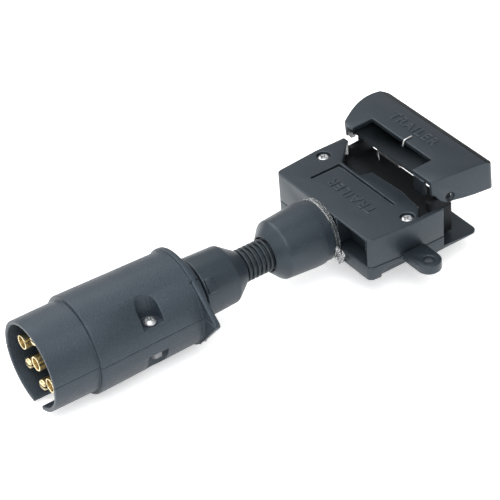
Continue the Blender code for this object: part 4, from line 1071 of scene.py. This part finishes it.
class Gland(bpy.types.Operator):
    """Make the gland that joins the relief to the flat socket, and its clear tie"""

    bl_idname = "adaptor.gland"
    bl_label = "Gland and Tie"

    def execute(self, context):
        s = context.scene.plug_sizes
        start = GLAND_X
        end = high("socket_gland").x
        band = end - GAP - 0.0022
        profile = [
            (start, 0.0081, 0.0006), (start + 0.0044, 0.0127, 0.0022), (start + 0.0185, 0.0137, 0.0040),
            (band - 0.0036, 0.0137, 0.0002), (band - 0.0033, 0.0132, 0.0001), (band, 0.0132, 0.0003),
            (band, 0.0122, 0.0), (end, 0.0122, 0.0), (end, 0.0079, 0.0), (band - 0.0064, 0.0079, 0.0),
            (band - 0.0064, 0.0050, 0.0), (start + 0.0127, 0.0050, 0.0), (start + 0.0127, 0.0095, 0.0),
            (start + 0.0069, 0.0095, 0.0), (start + 0.0069, 0.0060, 0.0), (start + 0.0050, 0.0060, 0.0),
            (start + 0.0050, 0.0074, 0.0), (start, 0.0074, 0.0004)]
        piece("gland", turned("gland", profile, s.segments, steps=6), paint("boot_satin"),
              BODY,
              ["socket_gland"])

        band_start = low("clear_tie").x
        seat = 0.0122 + GAP / 2
        strap = turned("strap", [(band_start, seat, 0.0), (band_start, seat + 0.0010, 0.0003),
                                 (band + 0.0022, seat + 0.0010, 0.0003),
                                 (band + 0.0022, seat, 0.0)], s.segments)
        head_start = band_start + 0.0001
        head_end = high("clear_tie").x
        head = block("head", (head_start, -0.0026, seat + 0.0004), (head_end, 0.0026, seat + 0.0046))
        window = block("window", (head_start + 0.0006, -0.0014, seat + 0.0022),
                       (head_end - 0.0006, 0.0040, seat + 0.0036))
        tail = block("tail", (head_start + 0.0007, -0.0044, seat + 0.0024),
                     (head_end - 0.0007, 0.0012, seat + 0.0034))
        head = carve("head", head, [("DIFFERENCE", window), ("UNION", tail)], edge=0.0003, edge_segments=2,
                     angle=30.0)
        head.transform(Matrix.Rotation(math.radians(115.0), 4, "X"))
        piece("tie", carve("tie", strap, [("UNION", head)]), paint("tie_nylon"), BODY,
              ["clear_tie"])
        return {"FINISHED"}


# ---- Flat socket ----

def housing_outline():
    """The housing seen from above: it widens from its rounded front corners, then runs straight."""
    s = bpy.context.scene.socket_sizes
    flare = HOUSING_X + 0.0210
    corners = []
    for side in (-1, 1):
        run = [(HOUSING_X, side * s.front_half, s.corner), (flare, side * s.rear_half, 0.008),
               (HOUSING_END_X, side * s.rear_half, 0.0006)]
        corners += run if side < 0 else run[::-1]
    return filleted(corners, steps=6)


def room_cutters(z_low, z_high):
    """Cutters of the wire room, the neck's channel and the insert's seat."""
    half = high("socket_insert").y + GAP
    return [
        ("DIFFERENCE", block("room", (HOUSING_X + 0.0085, -0.0235, z_low), (INSERT_X + 0.001,
                                                                            0.0235, z_high))),
        ("DIFFERENCE", block("channel", (HOUSING_X + 0.0042, -0.0093, z_low), (HOUSING_X + 0.0120,
                                                                               0.0093, z_high))),
        ("DIFFERENCE", rod("mouth", (HOUSING_X - PROUD, 0, 0), (HOUSING_X + 0.0080, 0, 0), 0.0079, 64)),
        ("DIFFERENCE", block("seat", (INSERT_X - GAP, -half, z_low), (HOUSING_END_X + PROUD, half,
                                                                      z_high))),
    ]


def raised_words(words, size, centre, top, turn, thickness=0.00028):
    """Plain raised lettering on a level face."""
    curve = bpy.data.curves.new("lettering", "FONT")
    curve.body = words
    curve.size = size
    curve.align_x = "CENTER"
    curve.align_y = "CENTER"
    curve.space_character = 1.18
    curve.extrude = thickness / 2
    curve.bevel_depth = 0.00008
    curve.bevel_resolution = 1
    curve.offset = 0.00004
    source = mesh_object("lettering_source", curve)
    mesh = bpy.data.meshes.new_from_object(source.evaluated_get(bpy.context.evaluated_depsgraph_get()))
    bpy.data.objects.remove(source, do_unlink=True)
    mesh.transform(Matrix.Translation((centre[0], centre[1], top)) @ Matrix.Rotation(turn, 4, "Z"))
    return mesh


class HousingTop(bpy.types.Operator):
    """Make the flat socket's upper half with its groove, recesses and hinge well"""

    bl_idname = "adaptor.housing_top"
    bl_label = "Housing Top"

    def execute(self, context):
        s = context.scene.socket_sizes
        x = HOUSING_X
        top = HOUSING_TOP
        body = prism("housing_top", housing_outline(), HOUSING_SPLIT + GAP / 4, top)
        steps = room_cutters(HOUSING_SPLIT - PROUD, 0.0063)
        recess = [(x - PROUD, -0.0105), (x - PROUD, -0.0296), (x, -0.0296), (x + 0.0065, -0.0262),
                  (x + 0.0065, -0.0105)]
        steps.append(("DIFFERENCE", prism("recess", recess, HOUSING_SPLIT - PROUD, top - 0.0010)))
        well = filleted([
            (x + 0.05, -0.0313, 0.0), (x + 0.0243, -0.0313, 0.0006), (x + 0.0295, -0.0259, 0.0010),
            (x + 0.0304, -0.0177, 0.0), (x + 0.0310, -0.0140, 0.0020), (x + 0.0300, 0.0056, 0.0010),
            (x + 0.0250, 0.0071, 0.0010), (x + 0.0250, 0.0194, 0.0010), (x + 0.0360, 0.0301, 0.0006),
            (x + 0.05, 0.0301, 0.0)])
        steps.append(("DIFFERENCE", prism("well", well, 0.0042, top + PROUD)))
        half = 0.00085
        long_x = x + 0.0228
        groove = [(x + 0.0083, 0.0184 - half), (long_x - half, 0.0184 - half), (long_x - half, -0.0184),
                  (long_x + half, -0.0184), (long_x + half, 0.0184 + half), (x + 0.0083, 0.0184 + half)]
        sharp = [("DIFFERENCE", prism("groove", groove, top - 0.0016, top + PROUD))]
        floor = top - 0.0006 - 0.0018 - GAP
        for side in (-1, 1):
            spot = (x + s.screw_x, side * s.screw_y)
            sharp.append(("DIFFERENCE", rod("counterbore", (*spot, floor), (*spot, top + PROUD),
                                            s.head_radius + 0.00022, 64)))
            sharp.append(("DIFFERENCE", rod("bore", (*spot, HOUSING_SPLIT - PROUD), (*spot, top),
                                            0.0017, 32)))
        mesh = carve("housing_top", body, steps, edge=s.edge, edge_segments=3)
        mesh = carve("housing_top", mesh, sharp)
        piece("housing_top", mesh, paint("housing_satin"), BODY,
              ["socket_housing_upper"],
              smooth=40.0)
        return {"FINISHED"}


class HousingBottom(bpy.types.Operator):
    """Make the flat socket's lower half with its lip, side arches and ears"""

    bl_idname = "adaptor.housing_bottom"
    bl_label = "Housing Bottom"

    def execute(self, context):
        s = context.scene.socket_sizes
        x = HOUSING_X
        base = HOUSING_BOTTOM
        body = prism("housing_bottom", housing_outline(), base, HOUSING_SPLIT - GAP / 4)
        lip_end = high("socket_housing_lower").x
        lip = filleted([(HOUSING_END_X - 0.004, -0.0332, 0.0), (lip_end, -0.0332, 0.003),
                        (lip_end, 0.0332, 0.003),
                        (HOUSING_END_X - 0.004, 0.0332, 0.0)], steps=6)
        steps = [("UNION", prism("lip", lip, base, base + s.lip_thickness))]
        steps += room_cutters(low("socket_insert").z - GAP, HOUSING_SPLIT + PROUD)
        for side in (-1, 1):
            arch = filleted([
                (x + 0.0050, base - PROUD, 0.0), (x + 0.0220, base - PROUD, 0.0),
                (x + 0.0220, base + 0.0040, 0.0008), (x + 0.0090, base + 0.0040, 0.0020),
                (x + 0.0060, base + 0.0024, 0.0010)])
            ends = sorted((side * (s.rear_half - 0.0028), side * 0.04))
            steps.append(("DIFFERENCE", prism("arch", arch, ends[0], ends[1], "Y")))
            hole_y = side * (high("socket_housing_lower").y - s.ear_radius)
            inner_y = side * (s.rear_half - 0.0014)
            start = 180 if side < 0 else 0
            end = circle_points((x + 0.0205, hole_y), s.ear_radius, start, start + 180, 32)
            outer_y = side * (s.rear_half + GAP)
            ear_top = HOUSING_SPLIT + 0.0021
            root_top = HOUSING_SPLIT - GAP / 2 - 0.0001
            root = end + [(end[-1][0], inner_y), (end[0][0], inner_y)]
            root_low = ear_top - 0.0041 if side < 0 else root_top - 0.0028
            steps.append(("UNION", prism("ear_root", root, root_low, root_top)))
            if side < 0:
                ear = end + [(end[-1][0], outer_y), (end[0][0], outer_y)]
                steps.append(("UNION", prism("ear", ear, root_top - 0.0010, ear_top)))
            steps.append(("DIFFERENCE", rod("ear_hole", (x + 0.0205, hole_y, ear_top - 0.01),
                                            (x + 0.0205, hole_y, ear_top + 0.01), s.ear_hole, 48)))
            spot = (x + s.screw_x, side * s.screw_y)
            steps.append(("DIFFERENCE", rod("bore", (*spot, base + 0.0015), (*spot, 0.01), 0.0017, 32)))
        mesh = carve("housing_bottom", body, steps, edge=s.edge, edge_segments=3)
        piece("housing_bottom", mesh, paint("housing_satin"), BODY,
              ["socket_housing_lower"],
              smooth=40.0)
        return {"FINISHED"}


class HousingScrews(bpy.types.Operator):
    """Make the two screws that close the housing"""

    bl_idname = "adaptor.housing_screws"
    bl_label = "Housing Screws"

    def execute(self, context):
        s = context.scene.socket_sizes
        seat = HOUSING_TOP - 0.0006 - 0.0018
        points = [(HOUSING_X + s.screw_x, side * s.screw_y, seat) for side in (-1, 1)]
        screws = copies("housing_screws", screw_mesh(s.head_radius, 0.0019, 0.0014, 0.0150), points,
                        paint("screw_zinc"))
        piece("housing_screws", screws, paint("screw_zinc"), BODY,
              ["housing_screw_near", "housing_screw_far"])
        return {"FINISHED"}


CHEEK_LENGTH = 0.0112
CHEEK_TOP = 0.0108
KNUCKLE_R = 0.0030


class SocketInsert(bpy.types.Operator):
    """Make the insert with its mouth, tongue and hinge cheeks, and its row of contacts"""

    bl_idname = "adaptor.socket_insert"
    bl_label = "Socket Insert"

    def execute(self, context):
        s = context.scene.socket_sizes
        half = high("socket_insert").y
        base = low("socket_insert").z
        top = 0.0060
        body = block("insert", (INSERT_X, -half, base), (NOSE_X, half, top))
        back = INSERT_X + 0.0040
        steps = [("DIFFERENCE", block("moat", (back, -0.0243, -0.0058), (NOSE_X + PROUD, 0.0243, 0.0048))),
                 ("UNION", block("tongue", (back - 0.001, -0.0210, -0.0042), (NOSE_X - 0.0013,
                                                                              0.0210, 0.0004)))]
        for side in (-1, 1):
            front = NOSE_X - CHEEK_LENGTH
            face = NOSE_X - 0.0001
            cheek = [(front, top - 0.001), (face, top - 0.001), (face, CHEEK_TOP)]
            cheek += circle_points((HINGE.x, HINGE.z), KNUCKLE_R, -20, 200, 36)
            cheek += [(front, CHEEK_TOP)]
            ends = sorted((side * (half - 0.0029), side * (half - 0.0001)))
            steps.append(("UNION", prism("cheek", cheek, ends[0], ends[1], "Y")))
        steps.append(("DIFFERENCE", rod("hinge_bore", (HINGE.x, -0.04, HINGE.z), (HINGE.x, 0.04, HINGE.z),
                                        0.00135, 48)))
        for index in range(s.socket_count):
            y = (index - (s.socket_count - 1) / 2) * s.socket_pitch
            steps.append(("DIFFERENCE", rod("bore", (INSERT_X - PROUD, y, SOCKET_Z),
                                            (NOSE_X + PROUD, y, SOCKET_Z),
                                            0.0015, 32)))
        piece("insert", carve("insert", body, steps, edge=0.00022, edge_segments=2), paint("carrier_painted_shade"),
              BODY, ["socket_insert"], smooth=40.0)

        tip = high("socket_contact_4").x
        tail = low("socket_contact_4").x
        socket = turned("socket", [
            (tip - 0.0110, 0.0, 0.0), (tip - 0.0110, 0.0009, 0.0), (tip, 0.0010, 0.0001),
            (tip, 0.0013, 0.0001),
            (tail, 0.0013, 0.0002), (tail, 0.0, 0.0)], 32, closed=False)
        source = mesh_object("socket_template", socket)
        first = (0.0, -(s.socket_count - 1) / 2 * s.socket_pitch, SOCKET_Z)
        row = grow("socket_row", tree_copies_in_row(), {
            "Template": source, "Count": s.socket_count, "Start": first, "Step": (0.0, s.socket_pitch, 0.0),
            "Material": paint("contact_brass")})
        drop(source)
        piece("socket_row", row, paint("contact_brass"), BODY,
              ["socket_contact_%d" % (i + 1) for i in range(7)])
        return {"FINISHED"}


class Hinge(bpy.types.Operator):
    """Make the hinge pin and grow the lid's torsion spring on it"""

    bl_idname = "adaptor.hinge"
    bl_label = "Hinge Pin and Spring"

    def execute(self, context):
        s = context.scene.socket_sizes
        left = high("hinge_pin").y
        right = low("hinge_pin").y
        pin = rod("pin", (HINGE.x, right, HINGE.z), (HINGE.x, left, HINGE.z), 0.0012, 64, 0.0003)
        pin_piece = piece("pin", pin, paint("spring_steel"), BODY, ["hinge_pin"])
        # Painted shade: the pin's ends, deep in the lid's pockets, get the darkest black instead of bright
        # steel.
        pin_piece.data.materials.append(paint("carrier_painted_shade"))
        for face in pin_piece.data.polygons:
            if face.center.y < right + 0.0004 or face.center.y > left - 0.0004:
                face.material_index = 1

        tilt = Matrix.Translation(HINGE) @ Matrix.Rotation(LID_TILT, 4, "Y")
        coil_left = 0.0148
        hook_y = 0.0008
        plate_top = 0.0103
        notch_x = 0.0020
        lift = s.coil_wire + GAP / 2
        start_angle = math.radians(205.0)
        end_angle = start_angle + 2 * math.pi * (s.coil_turns + 0.12)

        def on_coil(angle, y):
            return (HINGE.x + s.coil_radius * math.cos(angle), y, HINGE.z - s.coil_radius * math.sin(angle))

        first = on_coil(start_angle, coil_left)
        last = on_coil(end_angle, hook_y)
        edge = notch_x - s.coil_wire - 0.0001
        hook = [last]
        for spot in ((-0.0016, hook_y - 0.0001, 0.0036),
                     (edge - 0.0006, hook_y - 0.0002, plate_top - 0.0020),
                     (edge - 0.0001, hook_y - 0.0002, plate_top - 0.0002), (edge + 0.0004, hook_y - 0.0002,
                                                                           plate_top + lift * 0.9),
                     (edge + 0.0012, hook_y - 0.0002, plate_top + lift), (notch_x + 0.0036, hook_y - 0.0002,
                                                                          plate_top + lift)):
            hook.append(tuple(tilt @ Vector(spot)))
        down = [first]
        for x, z in ((-0.0019, -0.0026), (-0.0015, -0.0040), (-0.0012, -0.0056)):
            down.append((HINGE.x + x, coil_left + 0.0002, HINGE.z + z))
        legs = bpy.data.meshes.new("spring_legs")
        legs.from_pydata(hook + down,
                         [(i, i + 1) for i in range(len(hook) - 1)]
                         + [(len(hook) + i, len(hook) + i + 1) for i in range(len(down) - 1)], [])
        spring = grow("spring", tree_torsion_spring(), {
            "Turns": s.coil_turns + 0.12, "Coil Radius": s.coil_radius, "Coil Length": coil_left - hook_y,
            "Wire Radius": s.coil_wire, "Coil Start": (HINGE.x, coil_left, HINGE.z),
            "Start Angle": -start_angle, "Material": paint("spring_steel")}, legs)
        obj = piece("spring", spring, paint("spring_steel"), None, ["lid_spring"], smooth=70.0)
        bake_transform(obj)
        return {"FINISHED"}


LID_NEAR = -0.0080
LID_FAR = 0.0200
LID_TOP = 0.0103
LID_RIM = -0.0038
NOTCH_X = 0.0020
NOTCH_RIGHT = -0.0170
NOTCH_LEFT = 0.0225
RIB_LOW = 0.0064            # lower edge of the ribs round the notch
GRIP_WIDTH = 0.0038         # of the slope on the lid's far edge
GRIP_DROP = 0.0020


def lid_near_side(x):
    """The lid's straight side at x, in its hinge's frame."""
    return -0.0290 - 0.0048 * (x - LID_NEAR) / (LID_FAR - LID_NEAR)


def lid_bowed_side(x):
    """The lid's bowed side at x, in its hinge's frame."""
    along = min(max((x - LID_NEAR) / (LID_FAR - LID_NEAR), 0.0), 1.0)
    return 0.0284 + 0.0057 * along + 0.0052 * math.sin(math.pi * along) ** 0.8 * (0.70 + 0.55 * along)


def lid_outline(inset=0.0):
    """The lid from above; an inset outline runs out past the open near edge."""
    near = LID_NEAR - (PROUD if inset else 0.0)
    far = LID_FAR - inset
    corner = max(0.0020 - inset, 0.0006)
    outline = filleted([(near, lid_near_side(near) + inset, 0.0), (far, lid_near_side(far) + inset, corner),
                        (far, lid_bowed_side(far) - inset, 0.0)], closed=False, steps=6)[:-1]
    count = 36
    for i in range(count + 1):
        x = far - (LID_FAR - LID_NEAR - inset) * i / count
        outline.append((x, lid_bowed_side(x) - inset))
    if inset:
        outline.append((near, 0.0284 - inset))
    return outline


class Lid(bpy.types.Operator):
    """Make the sprung lid with its notch, grip and raised lettering"""

    bl_idname = "adaptor.lid"
    bl_label = "Lid"

    def execute(self, context):
        s = context.scene.socket_sizes
        tilt = Matrix.Translation(HINGE) @ Matrix.Rotation(LID_TILT, 4, "Y")
        body = prism("lid", lid_outline(), LID_RIM, LID_TOP)
        far = LID_FAR
        under = LID_TOP - s.lid_plate + 0.0005
        rim = [(LID_NEAR - PROUD, LID_RIM - PROUD), (far + PROUD, LID_RIM - PROUD),
               (far + PROUD, LID_RIM + 0.0001),
               (0.0110, LID_RIM + 0.0002), (0.0060, LID_RIM + 0.0006), (0.0020, -0.0026),
               (-0.0020, -0.0022),
               (-0.0045, -0.0004), (-0.0064, 0.0026), (LID_NEAR - PROUD, 0.0050)]
        bevel = [(far - GRIP_WIDTH, LID_TOP + 0.0002), (far + 0.0002, LID_TOP - GRIP_DROP),
                 (far + PROUD, LID_TOP + PROUD),
                 (far - GRIP_WIDTH, LID_TOP + PROUD)]
        steps = [
            ("DIFFERENCE", block("notch", (LID_NEAR - PROUD, NOTCH_RIGHT, LID_TOP - s.lid_plate - PROUD),
                                 (NOTCH_X, NOTCH_LEFT, LID_TOP + PROUD))),
            ("DIFFERENCE", prism("hollow", lid_outline(s.lid_wall), LID_RIM - PROUD,
                                 LID_TOP - s.lid_plate)),
            ("DIFFERENCE", prism("rim", rim, -0.05, 0.05, "Y")),
            ("DIFFERENCE", block("far_cut", (far - s.lid_wall - PROUD, -0.0300, LID_RIM - PROUD),
                                 (far + PROUD, 0.0325, 0.0034))),
            ("DIFFERENCE", prism("bevel", bevel, -0.05, 0.05, "Y")),
            ("UNION", block("notch_rib", (NOTCH_X, -0.0184, RIB_LOW), (0.0034, 0.0239, under))),
            ("UNION", block("notch_end_rib", (LID_NEAR + 0.0001, NOTCH_LEFT, RIB_LOW), (0.0025,
                                                                                        0.0239, under))),
            ("UNION", block("pin_guard", (LID_NEAR + 0.0001, -0.0240, 0.0006), (LID_NEAR + 0.0014,
                                                                                -0.0171, under))),
            ("DIFFERENCE", rod("pin_pocket", (0.0, -0.05, 0.0), (0.0, lid_near_side(0.0) + 0.0008,
                                                                 0.0), 0.0020,
                               64)),
            ("DIFFERENCE", rod("pin_bore", (0.0, -0.05, 0.0), (0.0, 0.05, 0.0), 0.00135, 48)),
        ]
        mesh = carve("lid_cover", body, steps, edge=s.edge, edge_segments=3)
        # Painted shade: the slope on the far edge, which faces away from the light, gets a darker black.
        grip = [face.index for face in mesh.polygons
                if face.center.x > far - 0.0040 and face.normal.x > 0.3 and face.normal.z > 0.3]
        cover = piece("lid_cover", mesh, paint("housing_satin"), LID, ["lid"], smooth=40.0,
                      matrix=tilt)
        cover.data.materials.append(paint("grip_painted_shade"))
        for index in grip:
            cover.data.polygons[index].material_index = 1
        words = raised_words("TRAILER", 0.0068, (0.0098, 0.0045), LID_TOP + 0.00010, math.radians(-90.0))
        piece("lid_lettering", words, paint("housing_satin"), LID, matrix=tilt)
        return {"FINISHED"}


class HousingLettering(bpy.types.Operator):
    """Make the plain raised lettering on the housing"""

    bl_idname = "adaptor.housing_lettering"
    bl_label = "Housing Lettering"

    def execute(self, context):
        words = raised_words("TRAILER", 0.0068, (HOUSING_X + 0.0138, -0.0025), HOUSING_TOP + 0.00010,
                             math.radians(90.0))
        piece("housing_lettering", words, paint("housing_satin"), BODY)
        return {"FINISHED"}


class InnerPieces(bpy.types.Operator):
    """Give the wires and the neck tube inside the adaptor their finishes"""

    bl_idname = "adaptor.inner_pieces"
    bl_label = "Wires and Neck Tube"

    def execute(self, context):
        keep_node("neck_tube", paint("boot_satin"))
        for row in frame["record"]["materials"]:
            if row["slot"].startswith("wire_"):
                # Each sheath's edges get a lighter colour as painted highlight.
                sheath = plastic(row["slot"] + "_sheath", tuple(row["base_color"][:3]), 0.40,
                                 2600.0, 0.00001,
                                 edge=0.0002,
                                 painted_highlight=tuple(min(1.0, c * 1.3 + 0.03) for c in row["base_color"][:3]))
                keep_node(row["slot"], sheath)
        return {"FINISHED"}


# ---- Stage ----

class Stage(bpy.types.Operator):
    """Lay the pale floor, the soft studio light and the camera"""

    bl_idname = "adaptor.stage"
    bl_label = "Floor, Light and Camera"

    def execute(self, context):
        scene = context.scene
        floor_z = CAD_BOX[0][2] - 0.0002
        finish = Finish("studio_floor", tuple(scene.adaptor_colours.floor), 0.9)
        paper = finish.tree.nodes.new("ShaderNodeTexNoise")
        paper.inputs["Scale"].default_value = 40.0
        finish.tree.links.new(finish.place, paper.inputs["Vector"])
        pale = tuple(scene.adaptor_colours.floor)
        shade = finish.blend(paper.outputs["Fac"], pale, tuple(c * 0.995 for c in pale))
        finish.tree.links.new(shade, finish.shader.inputs["Base Color"])
        finish.shader.inputs["Specular IOR Level"].default_value = 0.0
        finish.shader.inputs["Emission Color"].default_value = (1.0, 1.0, 1.0, 1.0)
        finish.shader.inputs["Emission Strength"].default_value = 0.45
        half = 6.0
        sheet = bpy.data.meshes.new("floor")
        sheet.from_pydata([(-half, -half, floor_z), (half, -half, floor_z), (half, half, floor_z),
                           (-half, half, floor_z)], [], [(0, 1, 2, 3)])
        sheet.materials.append(finish.material)
        mesh_object("floor", sheet)

        world = bpy.data.worlds.new("studio")
        world.use_nodes = True
        world.node_tree.nodes["Background"].inputs["Color"].default_value = (1.0, 1.0, 1.0, 1.0)
        world.node_tree.nodes["Background"].inputs["Strength"].default_value = 0.55
        scene.world = world
        scene.view_settings.view_transform = "Standard"

        middle = Vector((0.10, 0.0, 0.0))
        for name, place, size, power in (
                ("key_softbox", (-0.10, 0.55, 0.85), 1.00, 10.0),
                ("side_softbox", (-0.75, -0.10, 0.45), 0.60, 2.0),
                ("front_softbox", (-0.20, -0.60, 1.00), 0.90, 11.0)):
            lamp = bpy.data.lights.new(name, "AREA")
            lamp.shape = "SQUARE"
            lamp.size = size
            lamp.energy = power
            obj = bpy.data.objects.new(name, lamp)
            scene.collection.objects.link(obj)
            obj.location = place
            obj.rotation_euler = (Vector(place) - middle).to_track_quat("Z", "Y").to_euler()

        lens = bpy.data.cameras.new("camera")
        lens.sensor_width = 36.0
        lens.lens = 153.8
        lens.clip_start = 0.01
        lens.clip_end = 50.0
        camera = bpy.data.objects.new("camera", lens)
        scene.collection.objects.link(camera)
        right = (0.8205, -0.5671, -0.0720)
        up = (0.3895, 0.4624, 0.7966)
        back = (-0.4185, -0.6816, 0.6003)
        turn = Matrix((right, up, back)).transposed().to_4x4()
        camera.matrix_world = Matrix.Translation((-0.2524, -0.5769, 0.5137)) @ turn
        scene.camera = camera
        return {"FINISHED"}


class AdaptorPanel(bpy.types.Panel):
    """Lists the adaptor's pieces and settings"""

    bl_idname = "VIEW3D_PT_adaptor"
    bl_label = "Trailer Wiring Adaptor"
    bl_space_type = "VIEW_3D"
    bl_region_type = "UI"
    bl_category = "Adaptor"

    def draw(self, context):
        for operator in OPERATORS:
            self.layout.operator(operator.bl_idname)
        for title, settings in (("Plug", context.scene.plug_sizes), ("Socket", context.scene.socket_sizes),
                                ("Colours", context.scene.adaptor_colours)):
            column = self.layout.box().column(align=True)
            column.label(text=title)
            for name in settings.__annotations__:
                column.prop(settings, name)


SETTINGS = (("plug_sizes", PlugSizes), ("socket_sizes", SocketSizes), ("adaptor_colours", Colours))
OPERATORS = (PlugShells, PlugContacts, PlugScrews, Collar, StrainRelief, Gland, HousingTop, HousingBottom,
             HousingScrews, HousingLettering, SocketInsert, Hinge, Lid, InnerPieces, Stage)


def register():
    """Register the settings, the operators and the panel."""
    for name, group in SETTINGS:
        bpy.utils.register_class(group)
        setattr(bpy.types.Scene, name, PointerProperty(type=group))
    for item in (*OPERATORS, AdaptorPanel):
        bpy.utils.register_class(item)


def unregister():
    """Take everything that register added away again."""
    for item in (AdaptorPanel, *reversed(OPERATORS)):
        bpy.utils.unregister_class(item)
    for name, group in reversed(SETTINGS):
        delattr(bpy.types.Scene, name)
        bpy.utils.unregister_class(group)


def main():
    """Build every piece in order."""
    register()
    for operator in OPERATORS:
        group, name = operator.bl_idname.split(".")
        if getattr(getattr(bpy.ops, group), name)() != {"FINISHED"}:
            raise RuntimeError(operator.bl_label + " did not finish")


if __name__ == "__main__":
    main()
